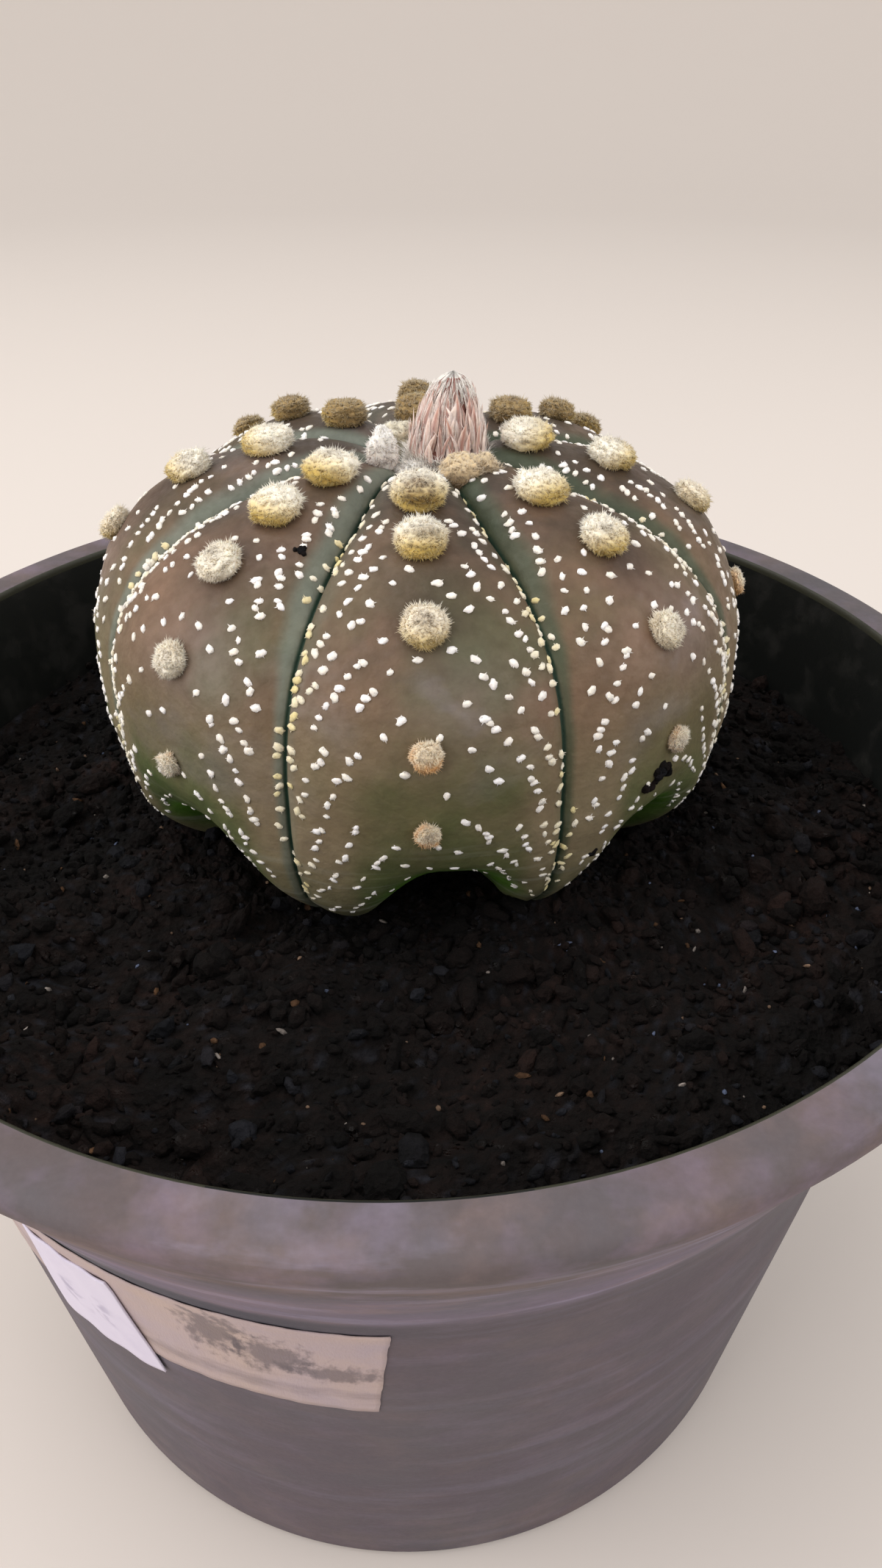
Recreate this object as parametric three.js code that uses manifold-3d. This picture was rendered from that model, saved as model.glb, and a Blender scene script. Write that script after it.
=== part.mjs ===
// Potted sand dollar cactus: an eight-ribbed Astrophytum asterias in a round plastic nursery pot.
// Millimetres, +Z up. The pot's foot ring rests on z = 0 and the pot's axis is the Z axis.
// A turn is an angle round an upright axis in degrees, 0 at the front (-Y), growing towards +X.
import * as THREE from "three";
import { ParametricGeometry } from "three/addons/geometries/ParametricGeometry.js";
import { mergeVertices } from "three/addons/utils/BufferGeometryUtils.js";
import Module from "manifold-3d";

const wasm = await Module();
wasm.setup();

// Pot: a body cone that flares into a soft collar, with a thick rolled lip.
const POT_HEIGHT = 90;
const COLLAR_RADIUS = 66.4; // widest, just under the lip
const LIP_RADIUS = 65; // outer edge of the flat top of the lip
const MOUTH_RADIUS = 62; // inner edge of the lip
const BASE_RADIUS = 50.8;
const BODY_SLOPE = 0.095; // radius gained for each millimetre of height
const FLARE_START = 58; // height where the body cone begins to open into the collar
const COLLAR_SLOPE = 0.43;
const LIP_HEIGHT = 2.2; // the rolled lip, from the widest part of the collar to the top
const LIP_BULGE = 0.3;
const MOUTH_CHAMFER_WIDTH = 0.7;
const MOUTH_CHAMFER_HEIGHT = 0.8;
const WALL = 1.4;
const INSIDE_BEND_WIDTH = 3.1; // the inside opens towards the mouth, bending this far out
const INSIDE_BEND_DEPTH = 20; // and this far below the top
const FLOOR_TOP = 4;
const FOOT_RECESS = 2.2; // how far the underside is raised inside the foot ring
const FOOT_INNER_RADIUS = 44;
const FOOT_INNER_CHAMFER = 1.2;
const FOOT_OUTER_RADIUS = 49.2;
const FOOT_FILLET_HEIGHT = 1.8;
const DRAIN_RADIUS = 4.5;
const DRAIN_RING_RADIUS = 30;
const DRAIN_COUNT = 6;
const POT_SIDES = 48;

// Soil
const GAP = 0.3; // clearance between touching pieces
const SOIL_LEVEL = 75;
const SOIL_ROUGHNESS = 0.7;
const SOIL_RINGS = [54, 48, 42, 36, 30, 22, 12];
const SOIL_RIM = 1; // width left level beside the wall

// Stem: a flattened globe. Angles along its profile run from 0 at the crown to 90 at the equator.
const STEM_CENTRE = new THREE.Vector2(2, 10.8); // the plant stands behind the pot's middle
const STEM_RADIUS = 36.3;
const EQUATOR = 94;
const UPPER_HEIGHT = 22.6; // equator to crown
const FOOT_DROP = 25.2; // equator down to the lobes under each furrow
const UPPER_POWER = 2.56; // roundness of the shoulders, 2 is an ellipse
const LOWER_POWER = 3;
const RIB_POWER = 2.2; // fullness of a rib's cross-section
const CROWN_DIMPLE_DEPTH = 3;
const CROWN_DIMPLE_RADIUS = 6;
const ARCH_WIDTH = 0.62; // half width of the hollow under a rib, in half rib widths
const TUCK_ANGLE = 140; // below this angle the lobes draw in to the neck
const FURROW_ANGLES = [0, 12, 25, 45, 70, 95, 125, 180];
const FURROW_DEPTHS = [0, 2.2, 4, 4.6, 3.4, 2.2, 1.4, 0.3];
const NECK_RADIUS = 13;
const NECK_HEIGHT = 66;
const ROOT_TOP_RADIUS = 8;
const ROOT_TOP = 57.6;
const ROOT_TIP_RADIUS = 4.5;
const ROOT_TIP = 46.4;
const ROOT_END = 38;
const SOCKET_GAP = 0.45; // clearance round the stem of what is cut to fit it
const SEAT_GAP = 0.35; // and of what sits on a curved crest

// Ribs in order of their turn: how far the hollow under each one is below the equator,
// how far that hollow leans to one side, and the profile angles of its wool cushions.
const RIBS = [
  { turn: 0, hollow: 14.6, lean: 0.2, cushions: [18.5, 31, 51, 78, 92] },
  { turn: 43, hollow: 13.3, lean: 0, cushions: [23, 38.5, 63, 88] },
  { turn: 86.5, hollow: 13, lean: 0, cushions: [13.5, 29, 50, 78, 93] },
  { turn: 132, hollow: 13, lean: 0, cushions: [18.5, 33, 46, 66, 88] },
  { turn: 178.5, hollow: 13, lean: 0, cushions: [9.5, 25, 42, 63, 86] },
  { turn: 225, hollow: 13, lean: 0, cushions: [12.5, 27.5, 46, 67, 90] },
  { turn: 269.5, hollow: 13, lean: 0, cushions: [19.5, 36, 60, 87] },
  { turn: 317, hollow: 12.8, lean: 0, cushions: [15, 27.5, 44, 68, 90] },
];
const CUSHION_WIDTH = 6.9; // at the crown
const CUSHION_WIDTH_LOSS = 0.049; // for each degree down the rib
const CUSHION_BACK_LOSS = 0.2; // share by which those straight behind are narrower
const CUSHION_HEIGHT = 3.6;
const CUSHION_HEIGHT_LOSS = 0.022;
const CUSHION_SIDES = 8;
const CROWN_SIDES = 12;

// Pieces of the crown, placed from the stem's own axis.
const CROWN_SEAT = 113.2; // they are sunk to here, then cut to the crown's surface
const FLOWER_BUD = { x: 3.4, y: -0.5, radius: 4.3, top: 123.4 };
const WHITE_BUD = { x: -3.5, y: -3.6, radius: 2.1, top: 119.6 };
const TAN_BUD = { x: 4.9, y: -8.3, radius: 2.9, top: 119.2 };
const CROWN_WOOL = { x: -1.9, y: 3.2, radius: 2.3, top: 117.6 };

// Tape round the pot under the collar, and the paper label stuck on the tape.
const TAPE = { from: -96, to: -3, low: 46.9, high: 66.1, off: GAP, thick: 0.4 };
const LABEL = { from: -42.5, to: -28, low: 42.7, high: 59, off: 1.1, thick: 0.5 };

const MATERIALS = {
  plastic: new THREE.MeshStandardMaterial({ color: 0x7d757a, roughness: 0.62, metalness: 0 }),
  soil: new THREE.MeshStandardMaterial({ color: 0x1c1918, roughness: 0.95, metalness: 0 }),
  skin: new THREE.MeshStandardMaterial({ color: 0x7d7466, roughness: 0.7, metalness: 0 }),
  wool: new THREE.MeshStandardMaterial({ color: 0xd5c8a4, roughness: 1, metalness: 0 }),
  youngWool: new THREE.MeshStandardMaterial({ color: 0xe6e1da, roughness: 1, metalness: 0 }),
  bud: new THREE.MeshStandardMaterial({ color: 0xb58f8c, roughness: 0.9, metalness: 0 }),
  tape: new THREE.MeshStandardMaterial({ color: 0xb9a8a0, roughness: 0.6, metalness: 0 }),
  paper: new THREE.MeshStandardMaterial({ color: 0xe4dfe8, roughness: 0.8, metalness: 0 }),
};

const UP = new THREE.Vector3(0, 0, 1);
const { degToRad, euclideanModulo, lerp, smoothstep } = THREE.MathUtils;

// A geometry with one vertex for each place, as the boolean library needs it.
function merged(geometry) {
  const bare = geometry.clone();
  bare.deleteAttribute("normal");
  bare.deleteAttribute("uv");
  return mergeVertices(bare, 1e-4);
}

function toSolid(geometry) {
  const bare = merged(geometry);
  return new wasm.Manifold(
    new wasm.Mesh({
      numProp: 3,
      vertProperties: new Float32Array(bare.attributes.position.array),
      triVerts: new Uint32Array(bare.index.array),
    }),
  );
}

function toGeometry(solid) {
  const mesh = solid.getMesh();
  const geometry = new THREE.BufferGeometry();
  geometry.setAttribute("position", new THREE.BufferAttribute(mesh.vertProperties, 3));
  geometry.setIndex(new THREE.BufferAttribute(mesh.triVerts, 1));
  geometry.computeVertexNormals();
  return geometry;
}

function piece(name, geometry, material) {
  const mesh = new THREE.Mesh(geometry, material);
  mesh.name = name;
  return mesh;
}

// A profile of (radius, height) points turned round the Z axis.
function turned(points, sides) {
  return new THREE.LatheGeometry(points, sides).rotateX(Math.PI / 2);
}

// Value at x of a line through points whose x values are in rising order.
function interpolate(x, xs, ys) {
  const next = xs.findIndex((value) => value >= x);
  if (next < 0) return ys.at(-1);
  if (next === 0) return ys[0];
  return lerp(ys[next - 1], ys[next], (x - xs[next - 1]) / (xs[next] - xs[next - 1]));
}

// Pot

// The outside of the wall from the foot to the widest part of the collar.
function outerWall() {
  const start = new THREE.Vector2(BASE_RADIUS + BODY_SLOPE * FLARE_START, FLARE_START);
  const end = new THREE.Vector2(COLLAR_RADIUS, POT_HEIGHT - LIP_HEIGHT);
  // The bend's control point is where the body's line meets the collar's line.
  const rise =
    (end.x - start.x - COLLAR_SLOPE * (end.y - start.y)) / (BODY_SLOPE - COLLAR_SLOPE);
  const bend = new THREE.Vector2(start.x + BODY_SLOPE * rise, start.y + rise);
  const path = new THREE.Path();
  path.moveTo(FOOT_OUTER_RADIUS, 0);
  path.quadraticCurveTo(
    BASE_RADIUS,
    0,
    BASE_RADIUS + BODY_SLOPE * FOOT_FILLET_HEIGHT,
    FOOT_FILLET_HEIGHT,
  );
  path.lineTo(start.x, start.y);
  path.quadraticCurveTo(bend.x, bend.y, end.x, end.y);
  return path.getPoints(5);
}

// The inside of the wall from the mouth down to the floor.
function innerWall() {
  const straight = BASE_RADIUS + BODY_SLOPE * FLARE_START - WALL;
  const bend = new THREE.Vector2(straight + INSIDE_BEND_WIDTH, POT_HEIGHT - INSIDE_BEND_DEPTH);
  const path = new THREE.Path();
  path.moveTo(MOUTH_RADIUS, POT_HEIGHT - MOUTH_CHAMFER_HEIGHT);
  path.quadraticCurveTo(bend.x, bend.y, straight, FLARE_START);
  path.lineTo(BASE_RADIUS - WALL, FLOOR_TOP);
  return path.getPoints(6);
}

function wallRadius(height) {
  const wall = outerWall();
  return interpolate(
    height,
    wall.map((p) => p.y),
    wall.map((p) => p.x),
  );
}

function makePot() {
  const lip = new THREE.Path();
  lip.moveTo(COLLAR_RADIUS, POT_HEIGHT - LIP_HEIGHT);
  lip.quadraticCurveTo(COLLAR_RADIUS + LIP_BULGE, POT_HEIGHT - LIP_BULGE, LIP_RADIUS, POT_HEIGHT);
  lip.lineTo(MOUTH_RADIUS + MOUTH_CHAMFER_WIDTH, POT_HEIGHT);
  lip.lineTo(MOUTH_RADIUS, POT_HEIGHT - MOUTH_CHAMFER_HEIGHT);
  const profile = [
    new THREE.Vector2(0, FOOT_RECESS),
    new THREE.Vector2(FOOT_INNER_RADIUS, FOOT_RECESS),
    new THREE.Vector2(FOOT_INNER_RADIUS + FOOT_INNER_CHAMFER, 0),
    ...outerWall(),
    ...lip.getPoints(3).slice(1, -1),
    ...innerWall(),
    new THREE.Vector2(0, FLOOR_TOP),
  ];
  let solid = toSolid(turned(profile, POT_SIDES));
  for (let i = 0; i < DRAIN_COUNT; i += 1) {
    const hole = new THREE.CylinderGeometry(DRAIN_RADIUS, DRAIN_RADIUS, 3 * FLOOR_TOP, 16);
    const turn = degToRad((360 / DRAIN_COUNT) * i);
    hole.rotateX(Math.PI / 2);
    hole.translate(DRAIN_RING_RADIUS * Math.sin(turn), -DRAIN_RING_RADIUS * Math.cos(turn), 0);
    solid = solid.subtract(toSolid(hole));
  }
  return piece("pot", toGeometry(solid), MATERIALS.plastic);
}

// Stem

// Where a turn lies among the ribs: the rib, and the offset from its crest, -1 or 1 in a furrow.
function placeOnRibs(turn) {
  for (let i = 0; i < RIBS.length; i += 1) {
    const before = RIBS[(i + RIBS.length - 1) % RIBS.length].turn;
    const after = RIBS[(i + 1) % RIBS.length].turn;
    const left = euclideanModulo(RIBS[i].turn - before, 360) / 2;
    const right = euclideanModulo(after - RIBS[i].turn, 360) / 2;
    const away = euclideanModulo(turn - RIBS[i].turn + 180, 360) - 180;
    if (away >= -left - 1e-9 && away <= right + 1e-9) {
      return { rib: RIBS[i], offset: away < 0 ? away / left : away / right };
    }
  }
  throw new Error("no rib at turn " + turn);
}

// A point of the ribbed surface and its outward direction in the upright plane of that turn.
function stemProfile(turn, angle, grow = 0) {
  const { rib, offset } = placeOnRibs(turn);
  const out = Math.min(Math.abs(offset), 0.9995);
  const upper = angle <= 90;
  const hollow =
    Math.exp(-((Math.abs(offset - rib.lean) / ARCH_WIDTH) ** 4)) * (1 - Math.abs(offset) ** 6);
  const drop = upper ? UPPER_HEIGHT : lerp(FOOT_DROP, rib.hollow, hollow);
  const power = upper ? UPPER_POWER : LOWER_POWER;
  const sine = Math.sin(degToRad(angle)) ** (2 / power);
  const cosine = Math.abs(Math.cos(degToRad(angle))) ** (2 / power) * (upper ? 1 : -1);
  const normal = new THREE.Vector2(
    Math.max(sine, 1e-6) ** (power - 1) / STEM_RADIUS,
    (Math.sign(cosine) * Math.max(Math.abs(cosine), 1e-6) ** (power - 1)) / drop,
  ).normalize();
  const furrow = 1 - (1 - out ** RIB_POWER) ** (1 / RIB_POWER);
  const inward = interpolate(angle, FURROW_ANGLES, FURROW_DEPTHS) * furrow - grow;
  const radius = angle === 0 ? 0 : Math.max(STEM_RADIUS * sine - normal.x * inward, 0.01);
  const dimple = CROWN_DIMPLE_DEPTH * Math.exp(-((radius / CROWN_DIMPLE_RADIUS) ** 2));
  const height = EQUATOR + drop * cosine - normal.y * inward - (upper ? dimple : 0);
  return { radius, height, normal };
}

function onStem(turn, radius, height) {
  const angle = degToRad(turn);
  return new THREE.Vector3(
    STEM_CENTRE.x + radius * Math.sin(angle),
    STEM_CENTRE.y - radius * Math.cos(angle),
    height,
  );
}

const STEM_ANGLES = [0, 5, 9, 14, 20, 27, 35, 44, 54, 65, 77, 90, 100, 110, 120, 130, TUCK_ANGLE];
const RIB_COLUMNS = [-1, -0.93, -0.72, -0.38, 0, 0.38, 0.72, 0.93];

// The turns of the mesh columns: close together beside each furrow, where the surface bends most.
function stemTurns() {
  return RIBS.flatMap(({ turn }, i) => {
    const before = RIBS[(i + RIBS.length - 1) % RIBS.length].turn;
    const after = RIBS[(i + 1) % RIBS.length].turn;
    const left = euclideanModulo(turn - before, 360) / 2;
    const right = euclideanModulo(after - turn, 360) / 2;
    return RIB_COLUMNS.map((share) => turn + share * (share < 0 ? left : right));
  });
}

// The whole plant body. Below the lobes it draws in to a neck and a short tap root in the soil.
// A row below the lobes is a share of the way from the tucked edge to the neck, or a root ring.
function stemGeometry(grow = 0) {
  const turns = stemTurns();
  const below = [
    { share: 0.6 },
    { share: 1 },
    { radius: ROOT_TOP_RADIUS, height: ROOT_TOP },
    { radius: ROOT_TIP_RADIUS, height: ROOT_TIP },
    { radius: 0, height: ROOT_END - grow },
  ];
  const rows = STEM_ANGLES.length + below.length - 1;
  const surface = (u, v, target) => {
    const turn = turns[Math.round((1 - u) * turns.length) % turns.length];
    const row = Math.round(v * rows);
    if (row < STEM_ANGLES.length) {
      const { radius, height } = stemProfile(turn, STEM_ANGLES[row], grow);
      target.copy(onStem(turn, radius, height));
      return;
    }
    const { share, radius, height } = below[row - STEM_ANGLES.length];
    if (share === undefined) {
      target.copy(onStem(turn, radius === 0 ? 0 : radius + grow, height));
      return;
    }
    const edge = stemProfile(turn, TUCK_ANGLE, grow);
    const drawn = smoothstep(share, 0, 1);
    target.copy(
      onStem(
        turn,
        lerp(edge.radius, NECK_RADIUS + grow, share),
        lerp(edge.height, NECK_HEIGHT - grow, drawn),
      ),
    );
  };
  return merged(new ParametricGeometry(surface, turns.length, rows));
}

// Soil

// Height of the soil above its level: low swells that cross at two directions.
function soilSwell(x, y) {
  return SOIL_ROUGHNESS * (Math.sin(x * 0.19 + y * 0.07) + Math.sin(y * 0.23 - x * 0.11 + 1));
}

function makeSoil(cutter) {
  const wall = innerWall().reverse();
  const edge = interpolate(
    SOIL_LEVEL,
    wall.map((p) => p.y),
    wall.map((p) => p.x),
  );
  const side = [...wall.filter((p) => p.y < SOIL_LEVEL), new THREE.Vector2(edge, SOIL_LEVEL)];
  const profile = [
    new THREE.Vector2(0, FLOOR_TOP + GAP),
    ...side.map((p) => new THREE.Vector2(p.x - GAP, Math.max(p.y, FLOOR_TOP + GAP))),
    ...SOIL_RINGS.map((radius) => new THREE.Vector2(radius, SOIL_LEVEL)),
    new THREE.Vector2(0, SOIL_LEVEL),
  ];
  const geometry = merged(turned(profile, POT_SIDES));
  const places = geometry.attributes.position;
  for (let i = 0; i < places.count; i += 1) {
    const x = places.getX(i);
    const y = places.getY(i);
    const top = places.getZ(i) === SOIL_LEVEL && Math.hypot(x, y) < edge - SOIL_RIM;
    if (top) places.setZ(i, SOIL_LEVEL + soilSwell(x, y));
  }
  return piece("soil", toGeometry(toSolid(geometry).subtract(cutter)), MATERIALS.soil);
}

// Cushions, buds and wool

// A closed dome with its underside on z = 0. Shares are of its radius and of its height.
const DOME = { foot: 0.8, side: [1.15, 0.35], shoulder: [0.86, 0.74], brow: 0.6 };

function dome(radius, height, sides) {
  const outline = new THREE.Path();
  const shoulder = [radius * DOME.shoulder[0], height * DOME.shoulder[1]];
  outline.moveTo(0, 0);
  outline.lineTo(radius * DOME.foot, 0);
  outline.quadraticCurveTo(radius * DOME.side[0], height * DOME.side[1], ...shoulder);
  outline.quadraticCurveTo(radius * DOME.brow, height, 0, height);
  return turned(outline.getPoints(2), sides);
}

function makeCushions() {
  return RIBS.map(({ turn, cushions }, rib) => {
    const group = new THREE.Group();
    const narrowed = 1 - CUSHION_BACK_LOSS * Math.max(0, -Math.cos(degToRad(turn)));
    cushions.forEach((angle, i) => {
      const radius = (narrowed * (CUSHION_WIDTH - CUSHION_WIDTH_LOSS * angle)) / 2;
      const height = CUSHION_HEIGHT - CUSHION_HEIGHT_LOSS * angle;
      const seat = stemProfile(turn, angle, SEAT_GAP);
      const geometry = dome(radius, height, CUSHION_SIDES);
      const mesh = piece(`areole_rib${rib + 1}_${i + 1}`, geometry, MATERIALS.wool);
      const side = onStem(turn, seat.normal.x, 0).sub(onStem(turn, 0, 0));
      mesh.position.copy(onStem(turn, seat.radius, seat.height));
      mesh.quaternion.setFromUnitVectors(UP, side.setZ(seat.normal.y).normalize());
      group.add(mesh);
    });
    return group;
  });
}

// A piece that stands in the crown, its underside cut to follow the stem with a small gap.
function crownPiece(name, geometry, place, material, cutter) {
  geometry.translate(STEM_CENTRE.x + place.x, STEM_CENTRE.y + place.y, CROWN_SEAT);
  return piece(name, toGeometry(toSolid(geometry).subtract(cutter)), material);
}

// The flower bud is a pointed egg, described by the same kind of shares.
const EGG = { foot: 0.7, side: [1.25, 0.4], shoulder: [0.8, 0.7], brow: [0.5, 0.93] };

function budGeometry({ radius, top }) {
  const height = top - CROWN_SEAT;
  const outline = new THREE.Path();
  const shoulder = [radius * EGG.shoulder[0], height * EGG.shoulder[1]];
  outline.moveTo(0, 0);
  outline.lineTo(radius * EGG.foot, 0);
  outline.quadraticCurveTo(radius * EGG.side[0], height * EGG.side[1], ...shoulder);
  outline.quadraticCurveTo(radius * EGG.brow[0], height * EGG.brow[1], 0, height);
  return turned(outline.getPoints(4), CROWN_SIDES);
}

function makeCrown(cutter) {
  const cushion = (place) => dome(place.radius, place.top - CROWN_SEAT, CROWN_SIDES);
  return [
    crownPiece("flower_bud", budGeometry(FLOWER_BUD), FLOWER_BUD, MATERIALS.bud, cutter),
    crownPiece("young_bud_white", cushion(WHITE_BUD), WHITE_BUD, MATERIALS.youngWool, cutter),
    crownPiece("young_bud_tan", cushion(TAN_BUD), TAN_BUD, MATERIALS.wool, cutter),
    crownPiece("crown_wool", cushion(CROWN_WOOL), CROWN_WOOL, MATERIALS.youngWool, cutter),
  ];
}

// Tape and label

// A band that follows the pot's wall at a distance, cut to a sector between two turns.
function wallBand({ from, to, low, high, off, thick }) {
  const heights = [0, 0.25, 0.5, 0.75, 1].map((share) => lerp(low, high, share));
  const along = (extra) => heights.map((z) => new THREE.Vector2(wallRadius(z) + extra, z));
  const outline = [...along(off + thick), ...along(off).reverse()];
  const ring = toSolid(turned([...outline, outline[0]], POT_SIDES));
  const sector = new THREE.Shape();
  sector.moveTo(0, 0);
  const steps = 6;
  for (let i = 0; i <= steps; i += 1) {
    const turn = degToRad(lerp(from, to, i / steps));
    sector.lineTo(2 * COLLAR_RADIUS * Math.sin(turn), -2 * COLLAR_RADIUS * Math.cos(turn));
  }
  sector.closePath();
  const wedge = new THREE.ExtrudeGeometry(sector, { depth: POT_HEIGHT, bevelEnabled: false });
  return toGeometry(ring.intersect(toSolid(wedge)));
}

// Assembly

const pottedCactus = new THREE.Group();
const socketCutter = toSolid(stemGeometry(SOCKET_GAP));
pottedCactus.add(
  makePot(),
  makeSoil(socketCutter),
  piece("cactus_stem", stemGeometry(), MATERIALS.skin),
  ...makeCushions(),
  ...makeCrown(socketCutter),
  piece("tape_strip", wallBand(TAPE), MATERIALS.tape),
  piece("paper_label", wallBand(LABEL), MATERIALS.paper),
);

export default pottedCactus;
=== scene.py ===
"""Potted sand dollar cactus: the looks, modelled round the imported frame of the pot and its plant.

Shapes are worked out in millimetres in the frame's own axes and become metres when a mesh is made.
A turn is an angle round an upright axis in degrees, 0 at the front (-Y), growing towards +X.
Angles down the plant's profile run from 0 at the crown to 90 at the equator.
"""

from __future__ import annotations

import logging
import math
from contextlib import contextmanager
from dataclasses import dataclass
from enum import Enum
from typing import Callable, Iterator, Sequence, Union

import bpy
import numpy as np
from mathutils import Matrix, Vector


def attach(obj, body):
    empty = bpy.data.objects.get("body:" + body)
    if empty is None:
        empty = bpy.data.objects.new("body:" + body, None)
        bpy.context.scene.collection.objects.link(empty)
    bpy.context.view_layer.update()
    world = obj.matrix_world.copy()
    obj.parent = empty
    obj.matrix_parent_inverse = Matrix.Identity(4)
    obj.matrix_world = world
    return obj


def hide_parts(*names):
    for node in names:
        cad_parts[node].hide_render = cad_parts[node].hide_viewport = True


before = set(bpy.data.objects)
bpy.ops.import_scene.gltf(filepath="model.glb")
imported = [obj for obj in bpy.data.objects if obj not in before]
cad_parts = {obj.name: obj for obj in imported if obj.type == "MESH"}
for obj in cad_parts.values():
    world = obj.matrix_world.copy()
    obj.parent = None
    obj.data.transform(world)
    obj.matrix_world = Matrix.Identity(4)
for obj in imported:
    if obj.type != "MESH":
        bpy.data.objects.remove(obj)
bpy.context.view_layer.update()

MM = 0.001
GOLDEN = math.pi * (3 - math.sqrt(5))
CIRCLE = 2 * math.pi
LOG = logging.getLogger("cactus")
Array = np.ndarray
Chance = np.random.Generator
Piece = bpy.types.Object
Material = bpy.types.Material
Socket = bpy.types.NodeSocket
Colour = tuple[float, float, float, float]
Pair = tuple[float, float]
Feed = Union[Socket, float, Sequence[float]]
Tint = Callable[[Array, Chance], Array]


class Slot(Enum):
    """The record's material slots."""

    POT = "pot_plastic"
    SOIL = "potting_soil"
    SKIN = "cactus_skin"
    WOOL = "areole_wool"
    YOUNG_WOOL = "young_wool"
    BUD = "bud_scales"
    TAPE = "masking_tape"
    PAPER = "label_paper"


class Effect(Enum):
    """The shared node groups, with the inputs that each has beside its place."""

    MOTTLE = ("Scale", "Detail", "Low", "High")
    GRAIN = ("Scale", "Cells")


def tone(*shown: float) -> Colour:
    """A linear colour from display values between 0 and 255."""
    parts = [value / 255 for value in shown]
    linear = [p / 12.92 if p <= 0.04045 else ((p + 0.055) / 1.055) ** 2.4 for p in parts]
    return (linear[0], linear[1], linear[2], 1.0)


def smooth(value: Array, low: float, high: float) -> Array:
    """A smooth step from 0 at low to 1 at high."""
    share = np.clip((value - low) / (high - low), 0, 1)
    return share * share * (3 - 2 * share)


def blend(first: Sequence[float], second: Sequence[float], share: Array | float) -> Array:
    """Colours mixed towards a second colour by a share for each row."""
    start = np.asarray(first)[..., :3]
    return start + (np.asarray(second)[:3] - start) * np.asarray(share)[..., None]


def unit(rows: Array) -> Array:
    """Rows brought to length 1."""
    return rows / np.linalg.norm(rows, axis=1)[:, None]


def around(turn: Array, reach: Array, height: Array, centre: Sequence[float] = (0.0, 0.0)) -> Array:
    """Places at turns, distances from an upright axis and heights."""
    swing = np.radians(turn)
    return np.stack([centre[0] + reach * np.sin(swing), centre[1] - reach * np.cos(swing), height + 0 * reach], axis=1)


def ripple(points: Array, wavelength: float, seed: int) -> Array:
    """A smooth, aperiodic swell over space, for unevenness.

    Args:
        points: places in millimetres, one row each.
        wavelength: the usual distance between crests.
        seed: picks the directions of the crossing waves.

    Returns:
        A value between about -1 and 1 for each row.
    """
    draw = np.random.default_rng(seed)
    total = np.zeros(len(points))
    waves = 7
    for _ in range(waves):
        direction = draw.normal(size=3)
        direction *= CIRCLE / wavelength * draw.uniform(0.6, 1.5) / np.linalg.norm(direction)
        total += np.sin(points @ direction + draw.uniform(0, CIRCLE))
    return total / math.sqrt(waves * 2)


def new(operator: Callable[..., object], name: str = "", **sizes: object) -> Piece:
    """What an operator adds, as the only selected object, under its final name if it has one."""
    bpy.ops.object.select_all(action="DESELECT")
    operator(**sizes)
    piece = bpy.context.object
    if name:
        piece.name = piece.data.name = name
    return piece


@contextmanager
def editing(action: str = "") -> Iterator[None]:
    """Edit mode, after a change of what is selected or none."""
    bpy.ops.object.mode_set(mode="EDIT")
    if action:
        bpy.ops.mesh.select_all(action=action)
    yield
    bpy.ops.object.mode_set(mode="OBJECT")


def apply(piece: Piece, kind: str, **settings: object) -> None:
    """Adds a modifier with these settings and applies it.

    Args:
        piece: the object that gets it.
        kind: the modifier's type.
        settings: values for its properties.
    """
    bpy.ops.object.select_all(action="DESELECT")
    piece.select_set(True)
    bpy.context.view_layer.objects.active = piece
    modifier = piece.modifiers.new(kind.title(), kind)
    for name, value in settings.items():
        setattr(modifier, name, value)
    bpy.ops.object.modifier_apply(modifier=modifier.name)


def places(piece: Piece) -> Array:
    """The vertices of a mesh object in millimetres, one row each."""
    found = np.empty(len(piece.data.vertices) * 3, np.float32)
    piece.data.vertices.foreach_get("co", found)
    return found.reshape(-1, 3).astype(float) / MM


def put(piece: Piece, points: Array) -> None:
    """Moves the vertices of a mesh object to these places in millimetres."""
    piece.data.vertices.foreach_set("co", (points * MM).astype(np.float32).ravel())
    piece.data.update()


def note(piece: Piece, **values: Array) -> None:
    """Keeps numbers for each vertex, for the materials to read."""
    for name, numbers in values.items():
        kept = piece.data.attributes.new(name, "FLOAT", "POINT")
        kept.data.foreach_set("value", numbers.astype(np.float32))


def paint(piece: Piece, colours: Array) -> None:
    """Keeps a colour for each vertex, under the name Tint."""
    kept = piece.data.color_attributes.new(name="Tint", type="FLOAT_COLOR", domain="POINT")
    full = np.ones((len(colours), 4), np.float32)
    full[:, :3] = np.clip(colours, 0, 1)
    kept.data.foreach_set("color", full.ravel())


def dress(piece: Piece, *finishes: Material) -> None:
    """Gives a piece its materials and smooth shading."""
    piece.data.materials.clear()
    for finish in finishes:
        piece.data.materials.append(finish)
    piece.data.polygons.foreach_set("use_smooth", np.ones(len(piece.data.polygons), bool))
    piece.data.update()


def seat(piece: Piece, slot: Slot, node: str, *finishes: Material) -> None:
    """Dresses a finished piece and fixes it to the one body.

    Args:
        piece: the finished object.
        slot: the record's material slot that its finish belongs to; not used.
        node: the frame's node that it stands for, or nothing.
        finishes: its materials.
    """
    dress(piece, *finishes)
    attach(piece, "root")
    if node:
        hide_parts(node)
    LOG.info("%s: %d faces", piece.name, len(piece.data.polygons))


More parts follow.
